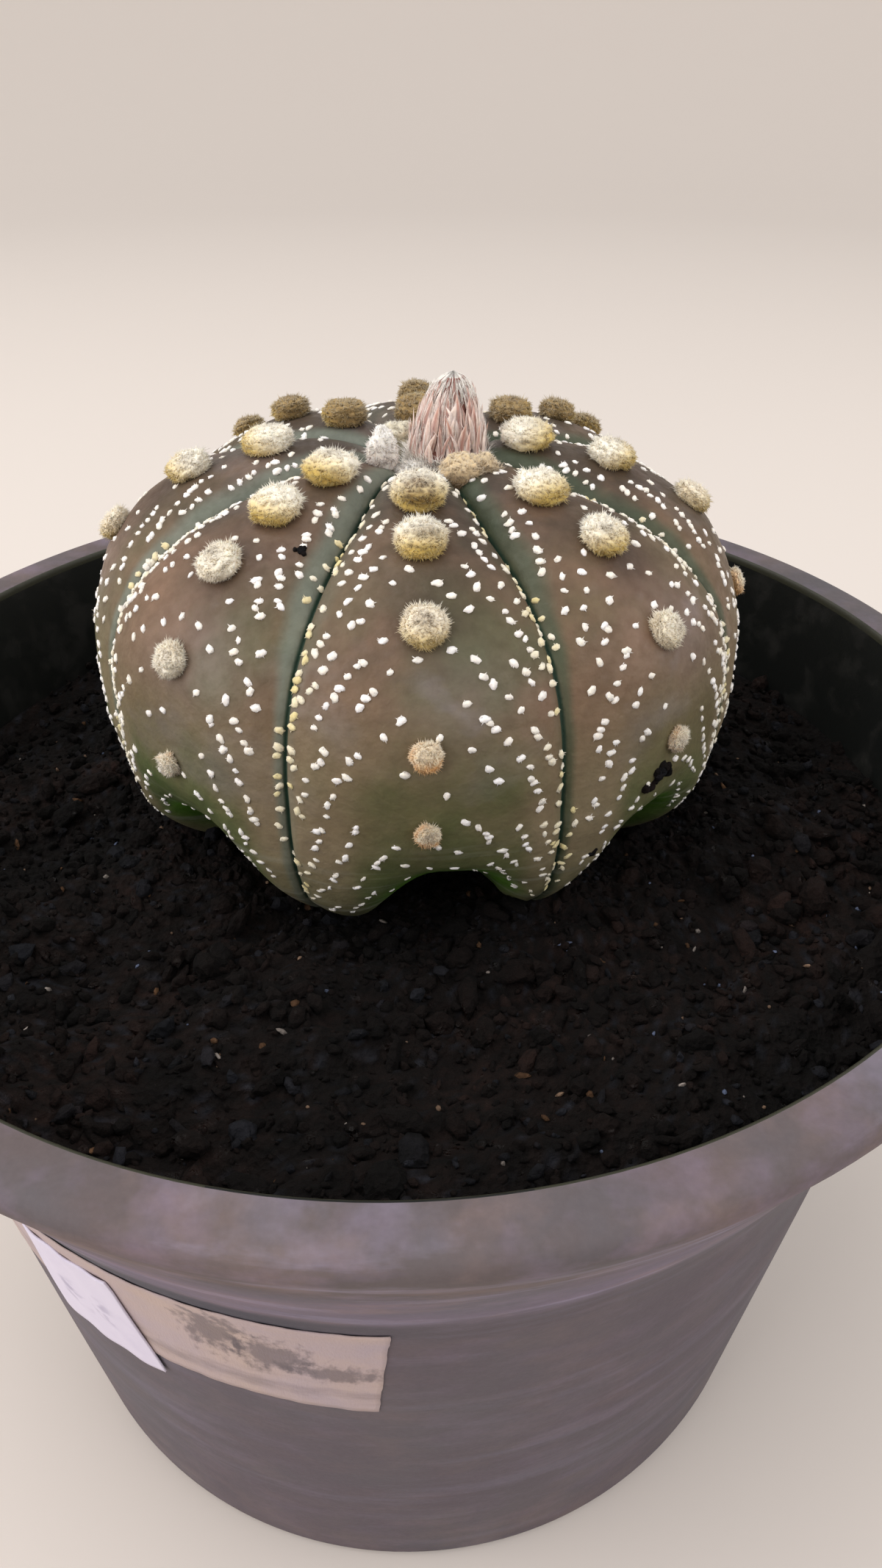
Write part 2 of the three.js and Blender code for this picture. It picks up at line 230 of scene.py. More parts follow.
def revolve(name: str, outline: Sequence[Pair], steps: int) -> Piece:
    """A closed shape of revolution round the Z axis.

    Args:
        name: the object's name.
        outline: (radius, height) points in millimetres, from the axis round to the axis.
        steps: how many steps make the full turn.

    Returns:
        The object, merged and with its faces outwards.
    """
    piece = new(bpy.ops.mesh.primitive_circle_add, name, vertices=len(outline), fill_type="NOTHING")
    put(piece, np.array([(radius, 0, height) for radius, height in outline]))
    with editing("DESELECT"):
        bpy.ops.mesh.select_mode(type="EDGE")
    for edge in piece.data.edges:
        edge.select = all(abs(piece.data.vertices[i].co.x) < 1e-9 for i in edge.vertices)
    with editing():
        bpy.ops.mesh.delete(type="EDGE")
        bpy.ops.mesh.select_all(action="SELECT")
        bpy.ops.mesh.spin(steps=steps, angle=CIRCLE, center=(0, 0, 0), axis=(0, 0, 1))
        bpy.ops.mesh.select_all(action="SELECT")
        bpy.ops.mesh.remove_doubles(threshold=1e-6)
        bpy.ops.mesh.normals_make_consistent(inside=False)
    return piece


@dataclass(frozen=True)
class Stamp:
    """A small modelled shape, kept as arrays, that many copies are made of."""

    points: Array
    faces: Array

    @classmethod
    def take(cls, piece: Piece) -> Stamp:
        """Reads an object in its own units, as triangles, and removes it."""
        apply(piece, "TRIANGULATE")
        faces = np.empty(len(piece.data.polygons) * 3, np.int32)
        piece.data.polygons.foreach_get("vertices", faces)
        stamp = cls(places(piece) * MM, faces.reshape(-1, 3))
        bpy.data.meshes.remove(piece.data)
        return stamp

    @classmethod
    def cone(cls, sides: int, cuts: Sequence[float], fullness: Callable[[Array], Array]) -> Stamp:
        """A tapered shape of length 1 and root radius 1.

        Args:
            sides: how many sides it has.
            cuts: the heights of its rings.
            fullness: how much wider than a cone it is at heights.

        Returns:
            The shape.
        """
        piece = new(bpy.ops.mesh.primitive_cone_add, vertices=sides, radius1=1, radius2=0, depth=1,
                    location=(0, 0, 0.5))
        bpy.ops.object.transform_apply(location=True)
        with editing():
            for height in cuts:
                bpy.ops.mesh.select_all(action="SELECT")
                bpy.ops.mesh.bisect(plane_co=(0, 0, height), plane_no=(0, 0, 1))
        points = places(piece) * MM
        points[:, :2] *= fullness(points[:, 2])[:, None]
        put(piece, points / MM)
        return cls.take(piece)

    @classmethod
    def hair(cls, *cuts: float) -> Stamp:
        """A three-sided hair, fuller at the ring half way up if it has one."""
        return cls.cone(3, cuts, lambda level: np.where(np.abs(level - 0.5) < 0.1, 1.5, 1.0))

    @classmethod
    def blade(cls) -> Stamp:
        """A pointed scale with a keel, full near its foot."""
        return cls.cone(6, (0.25, 0.5, 0.75), lambda level: (0.55 + 1.9 * level * (1 - level) ** 0.8)
                        * np.maximum(1 - level, 1e-3) ** 0.55 / np.maximum(1 - level, 1e-3))

    @classmethod
    def lump(cls, fineness: int, cut: float | None = None) -> Stamp:
        """A ball of radius 1, or the dome of it over a cut."""
        piece = new(bpy.ops.mesh.primitive_ico_sphere_add, subdivisions=fineness, radius=1)
        if cut is not None:
            with editing("SELECT"):
                bpy.ops.mesh.bisect(plane_co=(0, 0, cut), plane_no=(0, 0, 1), clear_inner=True, use_fill=True)
        return cls.take(piece)


class Heap:
    """Gathers copies of stamps, in millimetres, until they become one object."""

    def __init__(self) -> None:
        """Starts empty."""
        self.points: list[Array] = []
        self.faces: list[Array] = []
        self.colours: list[Array] = []
        self.count = 0

    def add(self, stamp: Stamp, origins: Array, bases: Array, colours: Array, curl: Array | None = None,
            jitter: Array | None = None) -> None:
        """Copies a stamp many times.

        Args:
            stamp: the shape.
            origins: where each copy's origin goes, (n, 3).
            bases: each copy's scaled axes as matrix columns, (n, 3, 3).
            colours: a colour for each copy, (n, 3), or for each of its vertices, (n, v, 3).
            curl: how far the far end of each copy is carried aside, (n, 3).
            jitter: a factor for each vertex of each copy, (n, v).
        """
        local = stamp.points[None] * (np.ones((len(origins), 1)) if jitter is None else jitter)[..., None]
        made = origins[:, None, :] + np.einsum("nij,nvj->nvi", bases, local)
        if curl is not None:
            made += curl[:, None, :] * stamp.points[None, :, 2:3] ** 2
        if colours.ndim == 2:
            colours = np.repeat(colours[:, None, :3], len(stamp.points), axis=1)
        starts = self.count + np.arange(len(origins)) * len(stamp.points)
        self.faces.append((stamp.faces[None] + starts[:, None, None]).reshape(-1, 3))
        self.points.append(made.reshape(-1, 3))
        self.colours.append(colours.reshape(-1, 3))
        self.count += len(origins) * len(stamp.points)

    def add_piece(self, piece: Piece, colours: Array) -> None:
        """Takes in one modelled object as it stands, and removes it."""
        self.add(Stamp.take(piece), np.zeros((1, 3)), np.eye(3)[None] / MM, colours[None])

    def build(self, name: str) -> Piece:
        """Makes the object.

        Args:
            name: its name.

        Returns:
            The object, with its colours in the attribute Tint.
        """
        points = np.concatenate(self.points)
        faces = np.concatenate(self.faces).astype(np.int32)
        mesh = bpy.data.meshes.new(name)
        mesh.vertices.add(len(points))
        mesh.vertices.foreach_set("co", (points * MM).astype(np.float32).ravel())
        mesh.loops.add(faces.size)
        mesh.loops.foreach_set("vertex_index", faces.ravel())
        mesh.polygons.add(len(faces))
        mesh.polygons.foreach_set("loop_start", np.arange(0, faces.size, 3, dtype=np.int32))
        mesh.update(calc_edges=True)
        piece = bpy.data.objects.new(name, mesh)
        bpy.context.scene.collection.objects.link(piece)
        paint(piece, np.concatenate(self.colours))
        return piece


def turned_bases(axis: Array, width: Array, depth: Array, length: Array, spin: Array) -> Array:
    """Scaled axes for copies whose own Z follows an axis.

    Args:
        axis: the direction of each copy's Z, (n, 3).
        width, depth, length: its sizes along its X, Y and Z, (n,).
        spin: its angle round its axis in radians, (n,).

    Returns:
        The axes as matrix columns, (n, 3, 3).
    """
    up = unit(axis)
    side = unit(np.cross(np.where(np.abs(up[:, 2:3]) < 0.9, np.array([[0.0, 0, 1]]), np.array([[1.0, 0, 0]])), up))
    front = np.cross(up, side)
    cosine, sine = np.cos(spin)[:, None], np.sin(spin)[:, None]
    first, second = side * cosine + front * sine, front * cosine - side * sine
    return np.stack([first * width[:, None], second * depth[:, None], up * length[:, None]], axis=2)


class Tree:
    """A node tree, with short calls for the nodes that the finishes use."""

    def __init__(self, tree: bpy.types.NodeTree) -> None:
        """Works on this tree."""
        self.tree = tree

    def feed(self, node: bpy.types.Node, feeds: dict[str | int, Feed]) -> None:
        """Gives a node's inputs values or links, by name or number."""
        for key, value in feeds.items():
            if isinstance(value, Socket):
                self.tree.links.new(value, node.inputs[key])
            else:
                node.inputs[key].default_value = value

    def add(self, kind: str, feeds: dict[str | int, Feed], **settings: object) -> bpy.types.NodeOutputs:
        """Adds a node.

        Args:
            kind: its type without the ShaderNode prefix.
            feeds: what its inputs get.
            settings: values for its properties.

        Returns:
            Its outputs.
        """
        node = self.tree.nodes.new("ShaderNode" + kind)
        for name, value in settings.items():
            setattr(node, name, value)
        self.feed(node, feeds)
        return node.outputs

    def maths(self, operation: str, first: Feed, second: Feed = 0.0) -> Socket:
        """One arithmetic step."""
        return self.add("Math", {0: first, 1: second}, operation=operation)[0]

    def plus(self, first: Feed, second: Feed) -> Socket:
        """The sum of two values."""
        return self.maths("ADD", first, second)

    def times(self, value: Feed, *factors: Feed) -> Feed:
        """The product of values."""
        for factor in factors:
            value = self.maths("MULTIPLY", value, factor)
        return value

    def mix(self, share: Feed, first: Feed, second: Feed, kind: str = "MIX") -> Socket:
        """Two colours mixed by a share."""
        return self.add("Mix", {0: share, 6: first, 7: second}, data_type="RGBA", blend_type=kind)[2]

    def layers(self, colour: Feed, *over: tuple[Feed, Feed]) -> Feed:
        """A colour under layers of others, each with its share."""
        for share, layer in over:
            colour = self.mix(share, colour, layer)
        return colour

    def deepened(self, share: Feed, colour: Feed) -> Socket:
        """A colour made deeper by a share."""
        return self.mix(share, colour, self.mix(1.0, colour, colour, "MULTIPLY"))

    def span(self, value: Feed, low: float, high: float, start: float = 0.0, end: float = 1.0) -> Socket:
        """A value carried from low..high to start..end, smoothly and clamped."""
        feeds = {"Value": value, "From Min": low, "From Max": high, "To Min": start, "To Max": end}
        return self.add("MapRange", feeds, interpolation_type="SMOOTHSTEP")[0]

    def ramp(self, share: Feed, stops: Sequence[tuple[float, Colour]]) -> Socket:
        """Colours along a line of stops."""
        node = self.tree.nodes.new("ShaderNodeValToRGB")
        self.feed(node, {0: share})
        line = node.color_ramp.elements
        while len(line) < len(stops):
            line.new(0.5)
        for element, (position, colour) in zip(line, stops):
            element.position = position
            element.color = colour
        return node.outputs[0]

    def attribute(self, name: str, output: str = "Fac") -> Socket:
        """A value that the piece's vertices hold."""
        return self.add("Attribute", {}, attribute_name=name)[output]

    def tinted(self, level: Socket) -> Socket:
        """The colour that the piece's vertices hold, times a level."""
        grey = self.add("CombineColor", {0: level, 1: level, 2: level})[0]
        return self.mix(1.0, self.attribute("Tint", "Color"), grey, "MULTIPLY")

    def mapped(self, scale: Sequence[float], source: str = "Object", move: Sequence[float] = (0, 0, 0)) -> Socket:
        """Object or UV coordinates, scaled along each axis and moved."""
        return self.add("Mapping", {"Vector": self.add("TexCoord", {})[source], "Scale": scale, "Location": move})[0]


def shared(effect: Effect) -> bpy.types.NodeTree:
    """A shared effect: blotches of noise cut between two levels, or a height of noise and cells.

    Args:
        effect: which one.

    Returns:
        The group, made on the first call.
    """
    name = effect.name.title()
    if name in bpy.data.node_groups:
        return bpy.data.node_groups[name]
    group = bpy.data.node_groups.new(name, "ShaderNodeTree")
    for label in ("Vector", *effect.value):
        kind = "NodeSocketVector" if label == "Vector" else "NodeSocketFloat"
        group.interface.new_socket(label, in_out="INPUT", socket_type=kind)
    group.interface.new_socket("Value", in_out="OUTPUT", socket_type="NodeSocketFloat")
    tree, entry = Tree(group), group.nodes.new("NodeGroupInput").outputs
    place = {"Vector": entry["Vector"], "Scale": entry["Scale"]}
    if effect is Effect.MOTTLE:
        noise = tree.add("TexNoise", place | {"Detail": entry["Detail"], "Roughness": 0.6})[0]
        value = tree.add("MapRange", {"Value": noise, "From Min": entry["Low"], "From Max": entry["High"]})[0]
    else:
        noise = tree.add("TexNoise", place | {"Detail": 5.0, "Roughness": 0.65})[0]
        value = tree.plus(noise, tree.times(tree.add("TexVoronoi", place)["Distance"], entry["Cells"]))
    group.links.new(value, group.nodes.new("NodeGroupOutput").inputs[0])
    return group


class Coat(Tree):
    """A new material's tree, with its shader."""

    def __init__(self, name: str) -> None:
        """Starts the material under its name."""
        self.material = bpy.data.materials.new(name)
        self.material.use_nodes = True
        super().__init__(self.material.node_tree)
        self.place = self.mapped((1, 1, 1))

    def mottle(self, scale: float, low: float, high: float, place: Socket | None = None, detail: float = 4.0
               ) -> Socket:
        """Soft blotches, from noise cut between two levels."""
        feeds = {"Vector": place or self.place, "Scale": scale, "Detail": detail, "Low": low, "High": high}
        return self.add("Group", feeds, node_tree=shared(Effect.MOTTLE))[0]

    def bump(self, height: Socket, strength: float, distance: float, under: Socket | None = None) -> Socket:
        """The normal of a height, over another normal or none."""
        feeds = {"Strength": strength, "Distance": distance, "Height": height}
        return self.add("Bump", feeds | ({"Normal": under} if under else {}))[0]

    def grain(self, scale: float, cells: float, strength: float, distance: float, place: Socket | None = None
              ) -> Socket:
        """The normal of a fine grain."""
        feeds = {"Vector": place or self.place, "Scale": scale, "Cells": cells}
        return self.bump(self.add("Group", feeds, node_tree=shared(Effect.GRAIN))[0], strength, distance)

    def done(self, colour: Feed, rough: Feed, normal: Socket | None, **sockets: Feed) -> Material:
        """The finished material.

        Args:
            colour, rough, normal: what its colour, roughness and normal get.
            sockets: values for more of the shader's sockets, with _ for each space.

        Returns:
            The material.
        """
        feeds = {"Base Color": colour, "Roughness": rough} | ({"Normal": normal} if normal else {})
        feeds |= {name.replace("_", " "): value for name, value in sockets.items()}
        self.feed(self.tree.nodes["Principled BSDF"], feeds)
        return self.material


@dataclass(frozen=True)
class SkinFinish:
    """The plant's skin: brown-grey above, green below, darker at the crown as painted shade, with a band beside the
    furrows that is lighter and bluer on the plant's left as painted reflection and darker on its right as painted
    shade.
    """

    # brown-grey above to green below is the plant's own colour; the crown and shoulder are also painted darker and the
    # lower stops lighter, painted shade and light
    profile: tuple[tuple[float, Colour], ...] = (
        (0.04, tone(70, 58, 48)), (0.16, tone(72, 58, 45)), (0.38, tone(103, 85, 63)),
        (0.52, tone(118, 108, 80)), (0.63, tone(116, 122, 80)))
    blush: Colour = tone(134, 104, 84)
    umber: Colour = tone(68, 52, 40)
    moss: Colour = tone(72, 88, 48)
    # painted reflection: a violet-grey sheen patch right of each rib's crest, halfway down
    painted_sheen: Colour = tone(136, 130, 134)
    # painted sheen: pale beige on the lower ribs beside the furrows
    flank: Colour = tone(160, 139, 116)
    fresh_green: Colour = tone(86, 134, 38)
    # the furrow band on the plant's left is a lighter teal, a painted reflection of the sky; on its right it is
    # darker, painted shade
    teal_reflection: Colour = tone(112, 120, 108)
    shade: Colour = tone(62, 76, 56)
    line: Colour = tone(42, 66, 52)
    scratch: Colour = tone(172, 172, 158)

    def material(self) -> Material:
        """The skin's material, which reads the numbers that the stem's vertices hold."""
        coat = Coat("cactus_skin")
        descent, furrow, ridge, pale = (coat.attribute(name) for name in ("Descent", "Furrow", "Ridge", "Bloom"))
        wander = coat.mottle(90, 0.2, 0.8)
        body = coat.ramp(coat.plus(descent, coat.times(coat.plus(wander, -0.5), 0.16)), self.profile)
        blush = coat.times(coat.mottle(55, 0.44, 0.66), coat.span(descent, 0.55, 0.3, 0, 0.75))
        umber = coat.times(coat.attribute("Umber"), coat.span(wander, 0.1, 0.6, 0.45, 0.85))
        moss = coat.times(coat.mottle(46, 0.48, 0.68), coat.span(ridge, 0, 1, 0.5, 0.9),
                          coat.span(descent, 0.18, 0.34, 0.25, 1))
        # painted reflection: the violet-grey sheen patch, placed by the attribute read into pale
        painted_sheen = coat.times(coat.mottle(62, 0.56, 0.8, coat.mapped((1, 1, 1.6))), coat.span(pale, 0, 1, 0.35, 0.8))
        # painted sheen: the lower ribs are paler beside the furrows than on the crest
        flank = coat.times(coat.span(descent, 0.4, 0.54), coat.span(ridge, 0.6, 0.1),
                           coat.span(wander, 0, 1, 0.25, 0.6))
        beside = coat.plus(coat.times(furrow, coat.span(descent, 0.16, 0.5, 0.85, 1.9)), coat.times(wander, -1.6))
        streaks = coat.mottle(1, 0.54, 0.7, coat.mapped((30, 30, 900)), 5)
        body = coat.layers(
            body, (blush, self.blush), (umber, self.umber), (coat.plus(moss, coat.times(ridge, 0.25)), self.moss),
            (coat.plus(painted_sheen, coat.times(pale, 0.2)), self.painted_sheen), (flank, self.flank),
            (coat.span(coat.attribute("Arch"), 0.1, 0.8, 0, 0.9), self.fresh_green),
            # the furrow band: lighter teal on the left as painted reflection, darker on the right as painted shade,
            # chosen by Cool
            (coat.times(coat.span(beside, 1.8, 0.1, 0, 0.75), coat.attribute("Band")),
             coat.mix(coat.attribute("Cool"), self.shade, self.teal_reflection)),
            (coat.span(furrow, 0.34, 0.1), self.line),
            (coat.times(streaks, coat.span(descent, 0.5, 0.62, 0, 0.5)), self.scratch))
        speckle = coat.mottle(700, 0.35, 0.7)
        normal = coat.bump(coat.mottle(260, 0.2, 0.8), 0.4, 0.0004, coat.grain(1400, 0.5, 0.35, 0.00012))
        return coat.done(coat.deepened(coat.times(speckle, 0.22), body), coat.span(speckle, 0, 1, 0.48, 0.66), normal,
                         Subsurface_Weight=0.06, Subsurface_Radius=(0.4, 0.6, 0.2), Subsurface_Scale=0.002,
                         Specular_IOR_Level=0.32)


@dataclass(frozen=True)
class WoolFinish:
    """Dry plant wool, coloured by each hair's own tint."""

    name: str = "areole_wool"
    sheen: float = 0.08

    def material(self) -> Material:
        """The wool's material, which multiplies the hairs' tint by fine noise."""
        coat = Coat(self.name)
        body = coat.tinted(coat.span(coat.mottle(1500, 0.3, 0.7), 0, 1, 0.9, 1.06))
        return coat.done(body, 0.9, coat.grain(4000, 0.8, 0.3, 0.0001), Sheen_Weight=self.sheen, Sheen_Roughness=0.5,
                         Subsurface_Weight=0.4, Subsurface_Radius=(1.0, 0.9, 0.7), Subsurface_Scale=0.0005,
                         Specular_IOR_Level=0.15)


@dataclass(frozen=True)
class SoilFinish:
    """Damp, near-black potting mix with wet glints."""

    glint: float = 0.14

    def material(self) -> Material:
        """The soil's material, from each crumb's tint and two scales of noise."""
        coat = Coat("potting_soil")
        body = coat.tinted(coat.span(coat.mottle(260, 0.3, 0.75), 0, 1, 0.4, 1.25))
        return coat.done(body, coat.span(coat.mottle(520, 0.62, 0.67), 0, 1, 0.9, self.glint),
                         coat.grain(1300, 0.9, 1, 0.0006), Specular_IOR_Level=0.17)


@dataclass(frozen=True)
class PotFinish:
    """Faded grey-violet nursery plastic, with lilac streaks round the wall that are partly scuffed plastic and partly
    painted highlight, and painted shade under the collar, near the lip and on the right.
    """

    body: Colour = tone(94, 85, 92)
    collar: Colour = tone(114, 104, 120)
    # painted shade: the collar is darker and browner towards the lip
    under_lip: Colour = tone(96, 84, 80)
    # partly scuffed plastic, partly painted highlight: pale lilac streaks round the collar
    scuff_and_highlight: Colour = tone(162, 156, 182)
    pink: Colour = tone(146, 122, 116)
    slate: Colour = tone(88, 88, 96)
    violet: Colour = tone(136, 120, 142)
    dust: Colour = tone(124, 110, 106)
    # real blotches through the clouds, and painted shade on the right side of the pot
    stain_and_shade: Colour = tone(82, 82, 86)
    # painted shadow: the dark band just under the collar
    hollow: Colour = tone(70, 70, 80)
    collar_foot: float = 70.6

    def material(self) -> Material:
        """The outside of the pot."""
        coat = Coat("pot_plastic")
        side, _, height = coat.add("SeparateXYZ", {0: coat.place})
        level = coat.plus(height, coat.times(coat.mottle(30, 0.2, 0.8), 0.003))
        foot = self.collar_foot * MM
        # The body below the collar is darker than the collar: partly the plastic's own colour, partly painted shade
        # under the flare.
        collar = coat.span(level, foot - 0.0015, foot + 0.003)
        clouds = coat.mottle(38, 0.35, 0.7)
        tall = coat.mapped((1, 1, 1.9))
        blots = [(coat.times(coat.mottle(scale, 0.48, 0.72, tall), coat.span(collar, 0, 1, 0.35 * strength, strength)),
                  patch) for scale, strength, patch in ((75, 0.5, self.slate), (110, 0.35, self.pink),
                                                        (140, 0.4, self.violet))]
        # lilac streaks round the collar: partly scuffed plastic, partly painted highlight streaks; they also give a
        # faint bump
        scuffs_and_highlights = coat.times(coat.mottle(1, 0.52, 0.78, coat.mapped((34, 34, 300)), 6),
                            coat.span(collar, 0, 1, 0.15, 0.62))
        bands = coat.times(coat.mottle(1, 0.56, 0.8, coat.mapped((36, 36, 200)), 5),
                           coat.span(collar, 0, 1, 0.1, 0.35))
        # painted shadow: a dark slate band under the collar, above the tape, fading out towards the right
        under = coat.times(coat.span(level, 0.064, 0.067), coat.span(level, 0.0722, 0.0698, 0, 0.85),
                           coat.span(side, 0.006, -0.014, 0.15, 1))
        dusty = coat.times(coat.mottle(120, 0.42, 0.7), coat.span(height, 0.022, 0, 0, 0.4))
        # The span over side paints the right-hand side of the pot darker: painted shade.
        colour = coat.layers(
            # the span of level up to the lip paints the top of the collar darker: painted shade
            self.body, (collar, self.collar), (coat.span(level, 0.0775, 0.086, 0, 0.85), self.under_lip),
            (coat.times(clouds, 0.4), self.stain_and_shade), *blots, (scuffs_and_highlights, self.scuff_and_highlight), (bands, self.pink),
            (under, self.hollow), (coat.span(side, 0.015, 0.06, 0, 0.4), self.stain_and_shade), (dusty, self.dust))
        normal = coat.bump(scuffs_and_highlights, 0.12, 0.0002, coat.grain(2200, 0.3, 0.2, 0.0001))
        return coat.done(coat.deepened(coat.times(coat.mottle(1600, 0.3, 0.7), 0.12), colour),
                         coat.span(clouds, 0, 1, 0.85, 0.66), normal, Specular_IOR_Level=0.28)


@dataclass(frozen=True)
class InnerPotFinish:
    """The dark inside of the pot, and the thin greenish edge of its lip."""

    name: str
    colour: Colour
    spot: Colour

    def material(self) -> Material:
        """A dark plastic with faint soil marks."""
        coat = Coat(self.name)
        marks = coat.mottle(200, 0.5, 0.75)
        return coat.done(coat.mix(coat.times(marks, 0.6), self.colour, self.spot), coat.span(marks, 0, 1, 0.5, 0.8),
                         coat.grain(2200, 0.3, 0.2, 0.0001), Specular_IOR_Level=0.35)


@dataclass(frozen=True)
class TapeFinish:
    """Aged masking tape: beige crepe that has gone half clear, with faint smudges."""

    beige: Colour = tone(180, 160, 152)
    clear: Colour = tone(164, 148, 156)
    smudge: Colour = tone(76, 68, 76)
    blots: tuple[tuple[Pair, Pair], ...] = (
        ((0.83, 0.67), (0.038, 0.28)), ((0.888, 0.53), (0.046, 0.2)), ((0.953, 0.42), (0.06, 0.1)))

    def material(self) -> Material:
        """The tape's material, which follows its own UV map."""
        coat = Coat("masking_tape")
        soaked = coat.mottle(1, 0.35, 0.7, coat.mapped((9, 2, 1), "UV"))
        colour = coat.mix(soaked, self.beige, self.clear)
        ragged = coat.mottle(1, 0.2, 0.8, coat.mapped((70, 9, 1), "UV", (2, 0.6, 0)), 3)
        for (along, across), (length, width) in self.blots:
            near = coat.mapped((1 / length, 1 / width, 0), "UV", (-along / length, -across / width, 0))
            away = coat.add("VectorMath", {0: near}, operation="LENGTH")["Value"]
            away = coat.plus(away, coat.times(ragged, 1.5))
            colour = coat.mix(coat.span(away, 1.9, 1.2, 0, 0.66), colour, self.smudge)
        across = coat.add("SeparateXYZ", {0: coat.mapped((1, 1, 1), "UV")})[1]
        edge = coat.maths("ABSOLUTE", coat.plus(across, -0.2))
        streaks = coat.times(coat.mottle(1, 0.4, 0.65, coat.mapped((12, 9, 1), "UV")),
                             coat.span(edge, 0.16, 0.04, 0, 0.4))
        normal = coat.grain(1, 0.4, 0.4, 0.00015, coat.mapped((420, 22, 1), "UV"))
        return coat.done(coat.mix(streaks, colour, self.smudge), coat.span(soaked, 0, 1, 0.62, 0.45), normal,
                         Specular_IOR_Level=0.35)


@dataclass(frozen=True)
class PaperFinish:
    """A bare white sticker, a little lilac in the shade."""

    face: Colour = tone(208, 202, 220)
    worn: Colour = tone(190, 182, 206)
    smear: Colour = tone(150, 142, 170)

    def material(self) -> Material:
        """The label's paper, with soft wear and fibre."""
        coat = Coat("label_paper")
        wear = coat.mottle(160, 0.5, 0.8)
        along, across, _ = coat.add("SeparateXYZ", {0: coat.mapped((1, 1, 1), "UV")})
        middle = coat.times(coat.span(along, 0.1, 0.3), coat.span(along, 0.85, 0.65),
                            coat.span(coat.maths("ABSOLUTE", coat.plus(across, -0.48)), 0.2, 0.08, 0, 0.7))
        blots = coat.mottle(1, 0.48, 0.62, coat.mapped((5, 6, 1), "UV"), 2)
        colour = coat.layers(self.face, (coat.times(wear, 0.6), self.worn), (coat.times(blots, middle), self.smear))
        return coat.done(colour, coat.span(wear, 0, 1, 0.55, 0.7), coat.grain(3000, 0.2, 0.25, 0.0001))


@dataclass(frozen=True)
class Mark:
    """A soiled spot on a wool cushion, in parts of its radius."""

    side: float
    down: float
    width: float
    length: float
    strength: float


@dataclass(frozen=True)
class Rib:
    """One rib: its crest's turn, the hollow under it, its cushions' places down the crest and their marks."""

    turn: float
    hollow: float
    cushions: tuple[float, ...]
    lean: float = 0.0
    marks: tuple[Mark, ...] = ()
    bleach: float = 0.0


